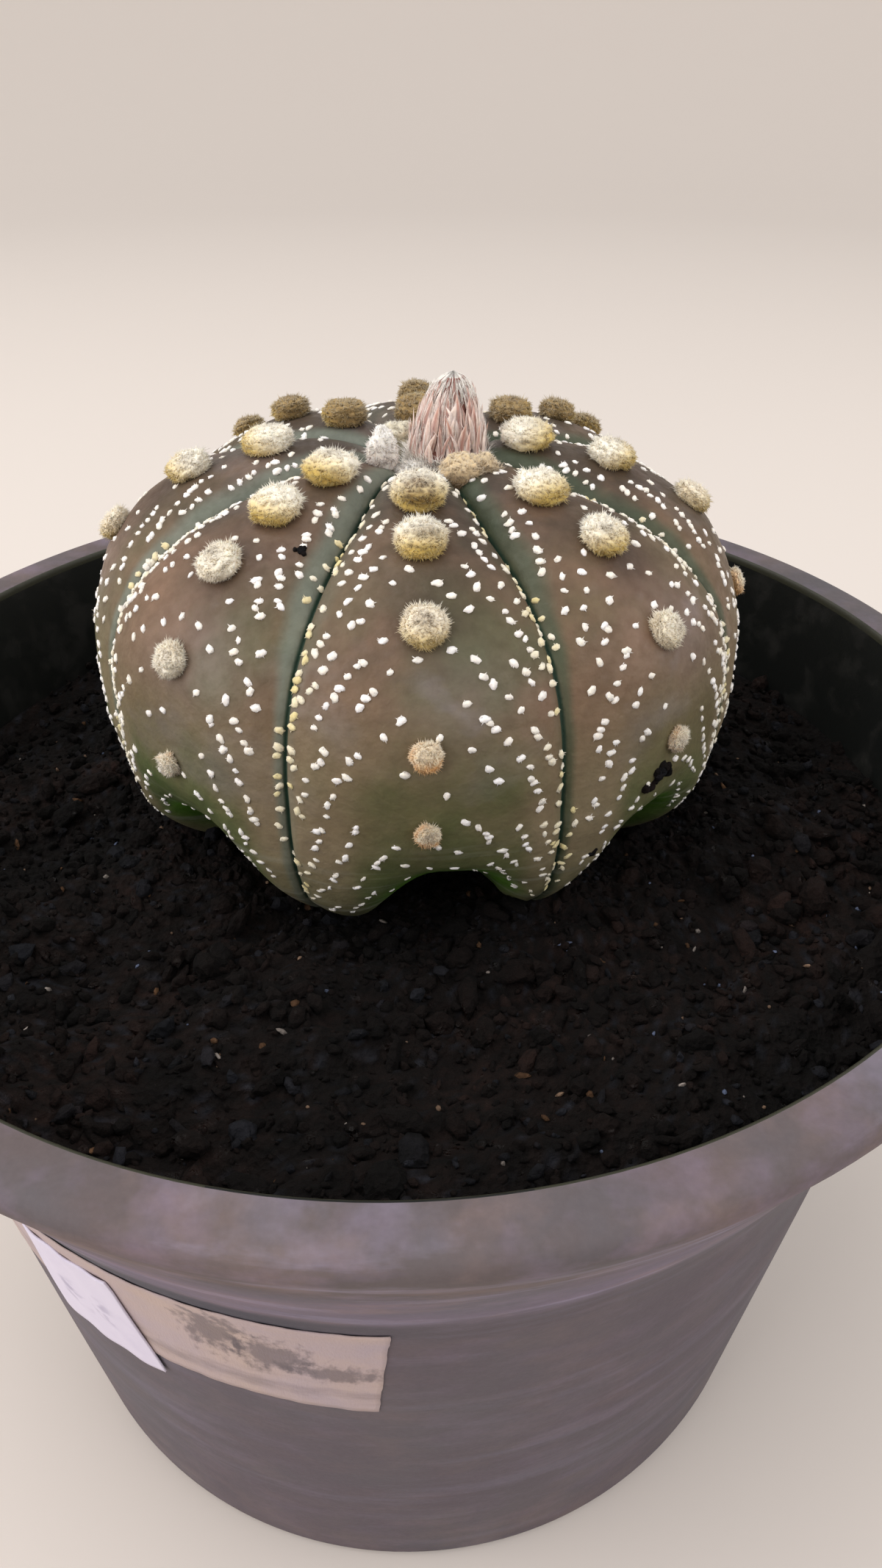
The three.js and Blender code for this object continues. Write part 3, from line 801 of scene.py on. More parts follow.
@dataclass
class Stem:
    """The plant body: a flattened globe of broad ribs between sharp furrows."""

    ribs: tuple[Rib, ...] = (
        Rib(0, 14.6, (18.5, 31, 51, 78, 92), 0.2,
            (Mark(0.0, 0.5, 0.55, 0.75, 1.0), Mark(0.2, 0.2, 0.48, 0.34, 0.75), Mark(0.05, -0.05, 0.38, 0.32, 0.8))),
        Rib(43, 13.3, (23, 38.5, 63, 88), bleach=0.55),
        Rib(86.5, 13, (13.5, 29, 50, 78, 93)),
        Rib(132, 13, (18.5, 33, 46, 66, 88)),
        Rib(178.5, 13, (9.5, 25, 42, 63, 86)),
        Rib(225, 13, (12.5, 27.5, 46, 67, 90)),
        Rib(269.5, 13, (19.5, 36, 60, 87)),
        Rib(317, 12.8, (15, 27.5, 44, 68, 90), bleach=0.8),
    )
    centre: Pair = (2.0, 10.8)
    radius: float = 36.3
    equator: float = 94.0
    upper_height: float = 22.6
    foot_drop: float = 25.2
    upper_power: float = 2.56
    lower_power: float = 3.0
    rib_power: float = 4.0
    dimple_depth: float = 3.0
    dimple_radius: float = 6.0
    arch_width: float = 0.62
    arch_power: float = 2.8
    tuck_angle: float = 140.0
    furrow_angles: tuple[float, ...] = (0, 12, 25, 45, 70, 95, 125, 180)
    furrow_depths: tuple[float, ...] = (0, 1.6, 2.4, 2.0, 1.1, 0.8, 0.8, 0.3)
    crease_depth: float = 0.36
    crease_width: float = 0.26
    swell: float = 0.25
    root: tuple[Pair, ...] = ((13.0, 66.0), (8.0, 57.6), (4.5, 46.4), (0.0, 38.0))
    neck: float = 0.4
    columns: int = 36
    rows: int = 150
    body_rows: int = 126

    def each(self, field: str) -> Array:
        """One field of every rib."""
        return np.array([getattr(rib, field) for rib in self.ribs])

    def locate(self, turn: Array) -> tuple[Array, Array, Array]:
        """Where turns lie among the ribs.

        Args:
            turn: turns in degrees.

        Returns:
            The rib's number, the offset from its crest (-1 and 1 in the furrows) and the
            half width of that side in degrees.
        """
        crests = self.each("turn")
        gaps = np.diff(np.append(crests, crests[0] + 360))
        number = np.searchsorted(crests + gaps / 2, np.mod(turn, 360)) % len(crests)
        away = np.mod(turn - crests[number] + 180, 360) - 180
        half = np.where(away < 0, np.roll(gaps, 1)[number], gaps[number]) / 2
        return number, np.clip(away / half, -1, 1), half

    def turn_at(self, number: int, offset: Array) -> Array:
        """Turns at offsets from a rib's crest."""
        crests = self.each("turn")
        before = (crests[number] - crests[number - 1]) % 360 / 2
        after = (crests[(number + 1) % len(crests)] - crests[number]) % 360 / 2
        return crests[number] + offset * np.where(offset < 0, before, after)

    def arch(self, number: Array, offset: Array) -> Array:
        """How deep in the arch under its rib each place lies, from 0 to 1."""
        return np.exp(-((np.abs(offset - self.each("lean")[number]) / self.arch_width) ** self.arch_power))

    def band(self, number: Array | int, offset: Array | float) -> Array:
        """How green a flank is: most on the side of each furrow that is farther from the front."""
        crests = self.each("turn")[number]
        return 0.3 + 0.7 * smooth(-np.asarray(offset) * np.sign(np.sin(np.radians(crests))), 0, 0.4)

    def surface(self, turn: Array, angle: Array) -> Array:
        """Points of the skin.

        Args:
            turn: turns in degrees.
            angle: angles down the profile in degrees.

        Returns:
            Places in millimetres, one row each.
        """
        number, offset, half = self.locate(turn)
        out = np.abs(offset)
        upper = angle <= 90
        arch = self.arch(number, offset) * (1 - out**6)
        foot = self.foot_drop + (self.each("hollow")[number] - self.foot_drop) * arch
        drop = np.where(upper, self.upper_height, foot)
        power = np.where(upper, self.upper_power, self.lower_power)
        sine = np.sin(np.radians(angle)) ** (2 / power)
        cosine = np.abs(np.cos(np.radians(angle))) ** (2 / power) * np.where(upper, 1, -1)
        level = np.maximum(sine, 1e-6) ** (power - 1) / self.radius
        upright = np.sign(cosine) * np.maximum(np.abs(cosine), 1e-6) ** (power - 1) / drop
        length = np.hypot(level, upright)
        level, upright = level / length, upright / length
        inward = np.interp(angle, self.furrow_angles, self.furrow_depths) * out**self.rib_power
        across = (1 - out) * np.radians(half) * self.radius * np.maximum(sine, 0.05)
        crease = self.crease_depth * np.exp(-((across / self.crease_width) ** 2))
        inward = inward + crease * smooth(angle, 4, 18)
        for index, rib in enumerate(self.ribs):
            for place in rib.cushions:
                near = np.exp(-(((angle - place - 3) / 7) ** 2) - (offset / 0.3) ** 2)
                pit = np.exp(-(((angle - place) / 3.2) ** 2) - (offset / 0.16) ** 2)
                inward = inward - np.where(number == index, self.swell * near - 0.3 * pit, 0)
        reach = np.where(angle <= 0, 0, np.maximum(self.radius * sine - level * inward, 0.01))
        dimple = self.dimple_depth * np.exp(-((reach / self.dimple_radius) ** 2))
        height = self.equator + drop * cosine - upright * inward - np.where(upper, dimple, 0)
        return around(turn, reach, height, self.centre)

    def skin(self, turn: Array, angle: Array) -> Array:
        """Points of the skin with its natural unevenness."""
        points = self.surface(turn, angle)
        outward = unit(points - np.array([*self.centre, self.equator - 4]))
        uneven = 0.28 * ripple(points, 17, 3) + 0.09 * ripple(points, 5.5, 4)
        return points + outward * uneven[:, None]

    def frames(self, turn: Array, angle: Array) -> tuple[Array, Array, Array, Array]:
        """Places on the skin with their directions.

        Args:
            turn: turns in degrees.
            angle: angles down the profile in degrees.

        Returns:
            The places, and unit directions sideways, down the profile and outwards.
        """
        step = 0.4
        side = unit(self.skin(turn + step, angle) - self.skin(turn - step, angle))
        down = self.skin(turn, angle + step) - self.skin(turn, np.maximum(angle - step, 0.5))
        out = unit(np.cross(down, side))
        return self.skin(turn, angle), side, np.cross(side, out), out

    def build(self) -> None:
        """The plant body, from a sphere whose columns follow the ribs and whose rows its profile."""
        total = self.columns * len(self.ribs)
        piece = new(bpy.ops.mesh.primitive_uv_sphere_add, "cactus_body", segments=total, ring_count=self.rows,
                    radius=1)
        ball = places(piece) * MM
        column = np.mod(np.round(np.arctan2(ball[:, 1], ball[:, 0]) / CIRCLE * total), total).astype(int)
        row = np.round(np.arccos(np.clip(ball[:, 2], -1, 1)) / math.pi * self.rows)
        share = np.sin(np.linspace(-1, 1, self.columns, endpoint=False) * math.pi / 2)
        turn = np.concatenate([self.turn_at(i, share) for i in range(len(self.ribs))])[column]
        angle = np.minimum(row / self.body_rows, 1) * self.tuck_angle
        points = self.skin(turn, angle)
        below = np.clip((row - self.body_rows) / (self.rows - self.body_rows), 0, 1)
        edge = np.hypot(points[:, 0] - self.centre[0], points[:, 1] - self.centre[1])
        radii, heights = zip(*self.root)
        steps = range(len(self.root))
        deep = np.clip((below - self.neck) / (1 - self.neck), 0, 1) * (len(self.root) - 1)
        reach = np.where(below <= self.neck, edge + (radii[0] - edge) * below / self.neck,
                         np.interp(deep, steps, radii))
        height = np.where(below <= self.neck,
                          points[:, 2] + (heights[0] - points[:, 2]) * smooth(below, 0, self.neck),
                          np.interp(deep, steps, heights))
        hidden = below > 0
        points[hidden] = around(turn, reach, height, self.centre)[hidden]
        put(piece, points)
        number, offset, half = self.locate(turn)
        note(piece, Descent=angle / 180, Furrow=(1 - np.abs(offset)) * np.radians(half) * np.maximum(edge, 3),
             # Cool is 1 on the plant's left, where the furrow band takes a painted reflection, and 0 on its right,
             # where it takes painted shade
             Band=self.band(number, offset), Cool=smooth(-np.sin(np.radians(turn)), -0.1, 0.3),
             Arch=self.arch(number, offset) * smooth(angle, 106, 122),
             Ridge=smooth(angle, 66, 100) * smooth(np.abs(offset - 0.1), 0.85, 0.3),
             Umber=np.exp(-(((angle - 42) / 13) ** 2) - ((offset - 0.1) / 0.4) ** 2),
             # where the painted reflection, a violet-grey sheen, lies on each rib
             Bloom=np.exp(-(((angle - 66) / 12) ** 2) - ((offset - 0.25) / 0.4) ** 2))
        seat(piece, Slot.SKIN, "cactus_stem", SkinFinish().material())


def cushion_radius(angle: float, turn: float) -> float:
    """Half the width of the wool cushion at a place: less down the profile, and less at the back."""
    behind = max(0.0, -math.cos(math.radians(turn)))
    return (6.9 - 0.049 * angle) / 2 * (1 - 0.2 * behind)


@dataclass
class Flecks:
    """White woolly flecks on the skin, in arcs that hang over each rib and in chains by the furrows."""

    stem: Stem
    size: float = 0.42
    first: float = -30.0
    spacing: float = 11.0
    sweep: float = 40.0
    sweep_power: float = 1.7
    lowest: float = 120.0
    hairs: int = 2
    white: Colour = tone(255, 250, 246)
    cream: Colour = tone(250, 236, 228)
    yellow: Colour = tone(222, 204, 148)
    seed: int = 11

    def along(self, number: int, offsets: Array, angles: Array, draw: Chance, touch: float) -> tuple[Array, Array]:
        """Picks places on a line over the skin, some apart and some touching.

        Args:
            number: the rib.
            offsets, angles: the line's course.
            draw: the source of chance.
            touch: how often the next fleck touches the last.

        Returns:
            The turns and angles of the flecks.
        """
        turns = self.stem.turn_at(number, offsets)
        points = self.stem.surface(turns, angles)
        run = np.concatenate([[0], np.cumsum(np.linalg.norm(np.diff(points, axis=0), axis=1))])
        gaps = np.where(draw.random(90) < touch, draw.uniform(0.74, 0.95, 90), draw.uniform(1.4, 2.1, 90))
        gaps[:3] = draw.uniform(1.9, 2.9, 3)
        spots = np.cumsum(gaps) - draw.uniform(0, 2.5)
        spots = spots[(spots > 0) & (spots < run[-1])]
        return np.interp(spots, run, turns), np.interp(spots, run, angles)

    def spots(self) -> Array:
        """All flecks, as rows of turn, angle, how yellow each is, and 1 where it is in a chain by a furrow."""
        draw = np.random.default_rng(self.seed)
        found: list[Array] = []
        for number, rib in enumerate(self.stem.ribs):
            for side in (-1, 1):
                far = self.stem.band(number, side) > 0.5
                steps = np.linspace(0.02, 0.8 if far else 0.9, 60)
                crest = self.first + draw.uniform(-2, 2)
                while crest < self.lowest:
                    angles = crest + self.sweep * steps**self.sweep_power
                    shown = (angles > 9) & (angles < self.lowest)
                    if shown.sum() > 3:
                        turns, falls = self.along(number, side * steps[shown], angles[shown], draw, 0.5)
                        out = np.abs(self.stem.locate(turns)[1])
                        kept = np.sin(falls * 0.17 + crest * 1.3 + side) > -0.72 - 0.3 * out
                        yellow = draw.uniform(0, 0.3, len(turns)) + smooth(out, 0.75, 0.95) * 0.5
                        found.append(np.stack([turns, falls, yellow, 0 * turns], axis=1)[kept])
                    crest += self.spacing * draw.uniform(0.9, 1.1)
                angles = np.linspace(14, 112, 160)
                crusted = side * math.sin(math.radians(rib.turn)) > 0.4
                for row in (0.94, 0.87, 0.8) if crusted else (0.95,):
                    offsets = side * (row + 0.012 * np.sin(angles * 0.4 + number))
                    turns, falls = self.along(number, offsets, angles, draw, 0.3 if far else 0.7)
                    turns = turns + draw.normal(0, 1.5 if crusted else 0.2, len(turns))
                    kept = np.sin(falls * 0.13 + 2.1 * number + side) > (0.3 if far else -0.85)
                    yellow = draw.uniform(0.45, 1, len(turns)) * (0.5 if crusted else 1)
                    found.append(np.stack([turns, falls, yellow, 0 * turns + 1], axis=1)[kept])
        return np.concatenate(found)

    def clear(self, spots: Array) -> Array:
        """Which flecks lie outside every wool cushion."""
        points = self.stem.surface(spots[:, 0], spots[:, 1])
        clear = np.ones(len(spots), bool)
        for rib in self.stem.ribs:
            for angle in rib.cushions:
                middle = self.stem.surface(np.array([float(rib.turn)]), np.array([float(angle)]))
                clear &= np.linalg.norm(points - middle, axis=1) > cushion_radius(angle, rib.turn) + 0.4
        return clear

    def build(self) -> None:
        """The flecks as two pieces, a ragged dome each with a few short hairs."""
        rows = self.spots()
        rows = rows[self.clear(rows)]
        yellow, chained = np.clip(rows[:, 2], 0, 1), rows[:, 3] > 0
        draw = np.random.default_rng(self.seed + 1)
        count = len(rows)
        turn, angle = (rows[:, :2] + draw.normal(0, 0.35, (count, 2))).T
        here, side, down, out = self.stem.frames(turn, angle)
        low = smooth(angle, 85, 115)
        radius = self.size * (1 - 0.3 * low) * draw.uniform(0.75, 1.12, count)
        colour = blend(blend(self.white, self.cream, draw.uniform(0, 0.45, count)), self.yellow, yellow)
        tilt = draw.normal(0.5, 0.5, count) * np.sign(0.5 - draw.random(count))
        long_way = side * np.cos(tilt)[:, None] + down * np.sin(tilt)[:, None]
        bases = np.stack([long_way * (radius * (1.15 + 0.2 * low))[:, None],
                          np.cross(out, long_way) * (radius * (0.82 - 0.3 * low))[:, None],
                          out * (radius * 0.5)[:, None]], axis=2)
        dome, spike = Stamp.lump(2, -0.15), Stamp.hair()
        jitter = draw.uniform(0.78, 1.25, (count, len(dome.points)))
        spikes: list[tuple[Array, Array]] = []
        for _ in range(self.hairs):
            swing = draw.uniform(0, CIRCLE, count)
            away = side * np.cos(swing)[:, None] + down * np.sin(swing)[:, None]
            start = here + away * (radius * draw.uniform(0.2, 0.7, count))[:, None]
            lean = away + out * draw.uniform(0.2, 1.0, count)[:, None]
            thick = np.full(count, 0.1)
            spikes.append((start, turned_bases(lean, thick, thick, radius * draw.uniform(0.6, 1.1, count), swing)))
        wool = WoolFinish("fleck_wool").material()
        for name, chosen in (("skin_flecks", ~chained), ("furrow_flecks", chained)):
            heap = Heap()
            heap.add(dome, here[chosen], bases[chosen], colour[chosen], jitter=jitter[chosen])
            for start, shapes in spikes:
                heap.add(spike, start[chosen], shapes[chosen], colour[chosen])
            seat(heap.build(name), Slot.YOUNG_WOOL, "", wool)


@dataclass
class WoolBall:
    """A pillow of short dense wool: a lumpy core under a coat of tapered hairs."""

    origin: Array
    axes: Array
    radii: Pair
    height: float
    seed: int
    hairs: int = 2100
    locks: int = 120
    lengths: Pair = (0.28, 0.56)
    thickness: Pair = (0.045, 0.07)
    spread: float = 0.4
    ragged: float = 0.05
    squareness: float = 0.15

    def pillow(self, ball: Array, share: float) -> Array:
        """Carries places on a ball of radius 1 to the pillow, whose foot lies in what carries it."""
        lumps = 1 + self.ragged * ripple(ball * 3 + self.seed, 2.4, self.seed)
        wide = np.maximum(np.hypot(ball[:, 0], ball[:, 1]), 1e-3)
        local = ball * (lumps * share * wide**-self.squareness)[:, None] * np.array([*self.radii, 1.0])
        middle = 0.4 * self.height
        rise = np.where(ball[:, 2] > 0, share * self.height - middle, middle + 0.4)
        local[:, 2] = middle + ball[:, 2] * lumps * rise
        return local

    def grow(self, heap: Heap, hair: Stamp, tint: Tint) -> None:
        """Adds the pillow to a heap.

        Args:
            heap: what gathers the piece.
            hair: the shape of one hair.
            tint: gives the colours of places in the pillow.
        """
        draw = np.random.default_rng(1000 + self.seed)
        core = new(bpy.ops.mesh.primitive_uv_sphere_add, segments=40, ring_count=24, radius=1)
        ball = places(core) * MM
        felt = 1 + 0.035 * ripple(ball * 10 + self.seed, 3.2, self.seed + 1) + 0.02 * draw.normal(size=len(ball))
        local = self.pillow(ball, 0.88) * felt[:, None]
        put(core, self.origin + local @ self.axes.T)
        heap.add_piece(core, tint(local, draw))
        count = self.hairs
        index = np.arange(count)
        lock = index % self.locks
        loose = (index // self.locks) % 5 < 2
        order = np.where(loose, (index + 0.5) / count, (lock + 0.5) / self.locks)
        level = np.clip(1 - 1.6 * order + draw.normal(0, 0.03, count), -1, 1)
        swing = np.where(loose, index, lock) * GOLDEN + draw.normal(0, 0.12, count)
        flat = np.sqrt(1 - level**2)
        ball = np.stack([flat * np.cos(swing), flat * np.sin(swing), level], axis=1)
        root = self.pillow(ball, 0.84)
        own, common = draw.normal(0, self.spread, (count, 3)), draw.normal(0, self.spread, (self.locks, 3))
        lean = ball + np.where(loose[:, None], own, common[lock] + 0.3 * own)
        length = np.where(loose, 0.7, draw.uniform(0.75, 1.25, self.locks)[lock]) * draw.uniform(*self.lengths, count)
        length = length * (1 + 0.3 * smooth(-ball[:, 1], 0.0, 0.8))
        thick = draw.uniform(*self.thickness, count)
        curl = (draw.normal(0, 0.22, (count, 3)) * length[:, None]) @ self.axes.T
        bases = turned_bases(lean @ self.axes.T, thick, thick, length, swing)
        bright = np.where(loose, 0.95, draw.uniform(0.84, 1.08, self.locks)[lock]) * draw.uniform(0.9, 1.08, count)
        tints = tint(root, draw) * bright[:, None]
        tips = 0.97 + 0.08 * hair.points[:, 2]
        heap.add(hair, self.origin + root @ self.axes.T, bases, tints[:, None, :] * tips[None, :, None], curl=curl)


@dataclass(frozen=True)
class Wear:
    """What an age does to a wool cushion's shape and colours."""

    worn: float
    low: Colour
    amount: float
    reach: float
    marked: float
    tallness: float
    ragged: float
    lengths: Pair


class Age(Enum):
    """How long ago a wool cushion grew, with its wear."""

    FRESH = Wear(0.0, tone(200, 170, 92), 0.95, 0.0, 1.0, 1.0, 0.07, (0.28, 0.56))
    GROWN = Wear(0.55, tone(200, 170, 92), 0.85, 0.0, 1.0, 1.0, 0.08, (0.28, 0.56))
    OLD = Wear(1.0, tone(246, 188, 118), 0.9, -0.25, 0.2, 0.85, 0.14, (0.2, 0.42))


@dataclass
class WoolCushion:
    """One areole: a pad of wool on a rib's crest, pale uphill and on top, ochre downhill and below, partly its own
    colours and partly painted light from above, and soiled in the middle.
    """

    stem: Stem
    rib: int
    place: int
    white: Colour = tone(255, 245, 224)
    cream: Colour = tone(238, 216, 166)
    aged: Colour = tone(255, 236, 204)
    # painted shade: pads at the back of the plant show their shaded side
    olive: Colour = tone(138, 108, 48)
    dirt: Colour = tone(92, 68, 44)

    def __post_init__(self) -> None:
        """Settles its place, width, wear and height, from how far it has moved from the crown."""
        self.form = self.stem.ribs[self.rib]
        self.angle = float(self.form.cushions[self.place])
        self.radius = cushion_radius(self.angle, self.form.turn)
        self.wear: Wear = (Age.FRESH if self.angle < 42 else Age.GROWN if self.angle < 74 else Age.OLD).value
        self.height = (3.3 - 0.021 * self.angle) * self.wear.tallness

    def mark(self) -> Mark:
        """Its soiled spot: its rib's own, or a faint one."""
        if self.place < len(self.form.marks):
            return self.form.marks[self.place]
        swing = 2.3 * self.rib + 1.7 * self.place + 1.1
        return Mark(0.3 * math.sin(2 * swing), 0.2 * math.cos(swing), 0.3, 0.3, 0.65 * abs(math.sin(swing)))

    def tint(self, local: Array, draw: Chance) -> Array:
        """Colours of places in the pad, which are sideways, downhill and outward distances."""
        radius, wear = self.radius, self.wear
        # lower: the white top and the cream and ochre underside are partly the wool's own colours and partly painted
        # light, lit on top and shaded below
        lower = np.clip(local[:, 1] / radius * 0.75 - local[:, 2] / self.height * 0.8 + 0.36, -1, 1)
        rim = smooth(np.hypot(local[:, 0] - 0.15 * radius, local[:, 1]) / radius, 0.72, 1.05) * wear.worn * 0.7
        # painted shade: pads at the back turn olive, the colour of their shaded side
        behind = smooth(-math.cos(math.radians(self.form.turn)), 0.1, 0.7)
        bleach = self.form.bleach if self.place > 1 else 0.0
        mark = self.mark()
        across = (local[:, 0] / radius - mark.side) / mark.width
        along = (local[:, 1] / radius - mark.down) / mark.length
        spot = np.exp(-(across**2) - along**2) * smooth(local[:, 2] / self.height, 0.2, 0.5)
        colour = blend(self.white, self.aged, wear.worn)
        for layer, share in (
                (self.cream, smooth(lower, -0.5, 0.2) * (0.85 - 0.5 * wear.worn)),
                (self.olive, behind * 0.9),
                (wear.low, np.maximum(smooth(lower, wear.reach, wear.reach + 0.6), rim) * wear.amount),
                (self.white, bleach * smooth(local[:, 1] / radius, -1.2, 0.2)),
                (self.dirt, np.clip(1.5 * spot, 0, 1) * (mark.strength * wear.marked)
                 * draw.uniform(0.35, 1.0, len(local)))):
            colour = blend(colour, layer, share)
        return colour

    def build(self, number: int, hair: Stamp, wool: Material) -> None:
        """The pad.

        Args:
            number: a number that differs for each pad, which seeds its chance.
            hair: the shape of one hair.
            wool: its material.
        """
        spot = self.stem.frames(np.array([float(self.form.turn)]), np.array([self.angle]))
        here, side, down, out = (part[0] for part in spot)
        heap = Heap()
        WoolBall(here, np.stack([side, down, out], axis=1), (self.radius, self.radius), self.height, number,
                 lengths=self.wear.lengths, ragged=self.wear.ragged).grow(heap, hair, self.tint)
        name = f"areole_rib{self.rib + 1}_{self.place + 1}"
        seat(heap.build("wool_" + name), Slot.WOOL, name, wool)


@dataclass
class FlowerBud:
    """The flower bud: narrow papery scales that close over a blunt core, with silky hair."""

    foot: tuple[float, float, float]
    top: float = 123.6
    radius: float = 4.85
    lean: float = 0.5
    scales: int = 130
    rose: Colour = tone(198, 152, 140)
    brown: Colour = tone(134, 90, 80)
    pale: Colour = tone(252, 234, 222)
    silk: Colour = tone(255, 248, 238)
    hairs: tuple[tuple[int, float, float, Pair, float], ...] = (
        (460, 0.0, 0.85, (0.14, 0.34), 0.06), (240, 0.74, 0.95, (0.1, 0.3), 0.5),
        (1500, 0.0, 0.22, (0.05, 0.13), 0.3))

    def at(self, share: Array, swing: Array, part: Array | float) -> Array:
        """Places at shares of the height, directions in radians and parts of the radius there."""
        reach = self.radius * (1 - np.clip(share, 0, 1) ** 1.15) ** 0.42 * part
        points = np.stack([reach * np.cos(swing) + self.lean * share**2, reach * np.sin(swing),
                           share * (self.top - self.foot[2])], axis=1)
        return points + np.array(self.foot)

    def lay(self, heap: Heap, stamp: Stamp, start: Array, end: Array, swing: Array, twist: Array, sizes: Array,
            parts: tuple[Array, Array], colours: Array) -> None:
        """Lays stamps along the bud's surface, bent to follow it.

        Args:
            heap: what gathers the piece.
            stamp: the shape.
            start, end: shares of the height where each copy begins and ends.
            swing: each copy's direction, in radians.
            twist: how far its end turns aside.
            sizes: each copy's half width and half thickness, (n, 2).
            parts: how far out its ends lie, as parts of the radius there.
            colours: its colours.
        """
        root = self.at(start, swing, parts[0])
        run = (self.at(start + 0.02, swing, parts[0]) - root) * ((end - start) / 0.02)[:, None]
        wide = unit(np.cross(run, np.stack([np.cos(swing), np.sin(swing), 0 * swing], axis=1)))
        thick = unit(np.cross(wide, run))
        bases = np.stack([wide * sizes[:, :1], thick * sizes[:, 1:], run], axis=2)
        heap.add(stamp, root, bases, colours, curl=self.at(end, swing + twist, parts[1]) - root - run)

    def build(self, hair: Stamp) -> Piece:
        """The bud, still to be dressed."""
        draw = np.random.default_rng(77)
        core = new(bpy.ops.mesh.primitive_uv_sphere_add, segments=40, ring_count=28, radius=1)
        ball = places(core) * MM
        swing = np.arctan2(ball[:, 1], ball[:, 0])
        share = (ball[:, 2] + 1) / 2
        put(core, self.at(share * 0.97, swing, 0.86 * np.minimum(share * 20, 1) * (1 + 0.05 * np.sin(9 * swing))))
        heap = Heap()
        heap.add_piece(core, blend(self.brown, self.silk, smooth(share, 0.22, 0.08)))
        blade = Stamp.blade()
        count = self.scales
        index = np.arange(count)
        start = 0.02 + 0.56 * (index / count) ** 0.9
        end = np.minimum(start + draw.uniform(0.36, 0.5, count), 0.985)
        swing = index * GOLDEN + draw.normal(0, 0.08, count)
        ring = np.maximum(np.hypot(blade.points[:, 0], blade.points[:, 1]), 1e-6)
        edge = smooth(np.abs(blade.points[:, 0]) / ring, 0.6, 1.0)
        shade = blend(self.rose, self.brown, draw.uniform(0, 0.8, count))
        shade = blend(shade, self.pale, (draw.random(count) < 0.35) * draw.uniform(0.3, 0.9, count))
        colours = blend(shade[:, None], self.pale, np.tile(0.75 * edge, (count, 1)))
        sizes = np.stack([draw.uniform(0.34, 0.78, count), np.full(count, 0.16)], axis=1)
        parts = (np.full(count, 0.9), draw.uniform(0.9, 1.22, count))
        self.lay(heap, blade, start, end, swing, draw.normal(0, 0.2, count), sizes, parts, colours)
        for count, low, high, reach, puff in self.hairs:
            start = draw.uniform(low, high, count)
            end = np.minimum(start + draw.uniform(*reach, count), 1.02)
            swing = draw.uniform(0, CIRCLE, count)
            thick = draw.uniform(0.035, 0.075, count)
            colours = blend(self.silk, self.rose, draw.uniform(0, 1, count) ** 3 * (puff < 0.1))
            parts = (np.full(count, 0.95), 1.0 + draw.uniform(0, puff, count))
            self.lay(heap, hair, start, end, swing, draw.normal(0, 0.12, count),
                     np.stack([thick, thick], axis=1), parts, colours)
        return heap.build("flower_bud_scales")


@dataclass
class Crown:
    """What stands in the crown: the flower bud, two young buds and a wisp of wool."""

    stem: Stem
    hair: Stamp
    fluff: Stamp
    seat_height: float = 113.4
    silk: Colour = tone(255, 248, 238)
    blush: Colour = tone(250, 236, 226)
    tan: Colour = tone(216, 192, 156)
    # painted shade on the undersides of the tan felt and, with olive, of the wisp
    dusk_shade: Colour = tone(130, 104, 76)
    straw: Colour = tone(226, 216, 192)
    olive: Colour = tone(170, 160, 120)

    def ball(self, place: Pair, radii: Pair, top: float, seed: int, **settings: object) -> WoolBall:
        """A ball of wool at a place measured from the stem's axis, whose top is at a height."""
        origin = np.array([self.stem.centre[0] + place[0], self.stem.centre[1] + place[1], self.seat_height])
        return WoolBall(origin, np.eye(3), radii, top - self.seat_height, seed, **settings)

    def tufts(self, name: str, upper: Colour, lower: Colour, *balls: WoolBall) -> Piece:
        """One piece of some balls, with one colour above and another below; where the lower one is darker it is
        painted shade on the underside.
        """
        heap = Heap()
        for ball in balls:
            ball.grow(heap, self.fluff, lambda local, draw, ball=ball: blend(
                lower, upper, smooth(local[:, 2] / ball.height, 0.25, 0.8)))
        return heap.build(name)

    def build(self) -> None:
        """Everything in the crown."""
        foot = (self.stem.centre[0] + 3.4, self.stem.centre[1] - 0.5, self.seat_height)
        seat(FlowerBud(foot).build(self.hair), Slot.BUD, "flower_bud", WoolFinish("bud_scales").material())
        young = WoolFinish("young_wool").material()
        white = self.tufts("young_bud_wool", self.silk, self.blush,
                           self.ball((-3.5, -3.6), (1.75, 1.7), 119.9, 5, ragged=0.1, squareness=0.0),
                           self.ball((-0.5, -4.0), (2.3, 1.4), 115.9, 9, ragged=0.12, squareness=0.0))
        seat(white, Slot.YOUNG_WOOL, "young_bud_white", young)
        felt = {"lengths": (0.26, 0.56), "ragged": 0.1, "hairs": 3000, "spread": 0.45, "squareness": 0.12}
        tan = self.tufts("young_bud_felt", self.tan, self.dusk_shade, self.ball((4.5, -8.0), (2.8, 2.2), 118.2, 6, **felt),
                         self.ball((6.7, -7.5), (1.8, 1.7), 118.1, 8, **felt))
        seat(tan, Slot.WOOL, "young_bud_tan", WoolFinish("tan_felt").material())
        wisp = self.tufts("crown_wool_wisp", self.straw, self.olive,
                          self.ball((-1.9, 3.2), (2.4, 2.2), 118.0, 7, ragged=0.12))
        seat(wisp, Slot.YOUNG_WOOL, "crown_wool", young)


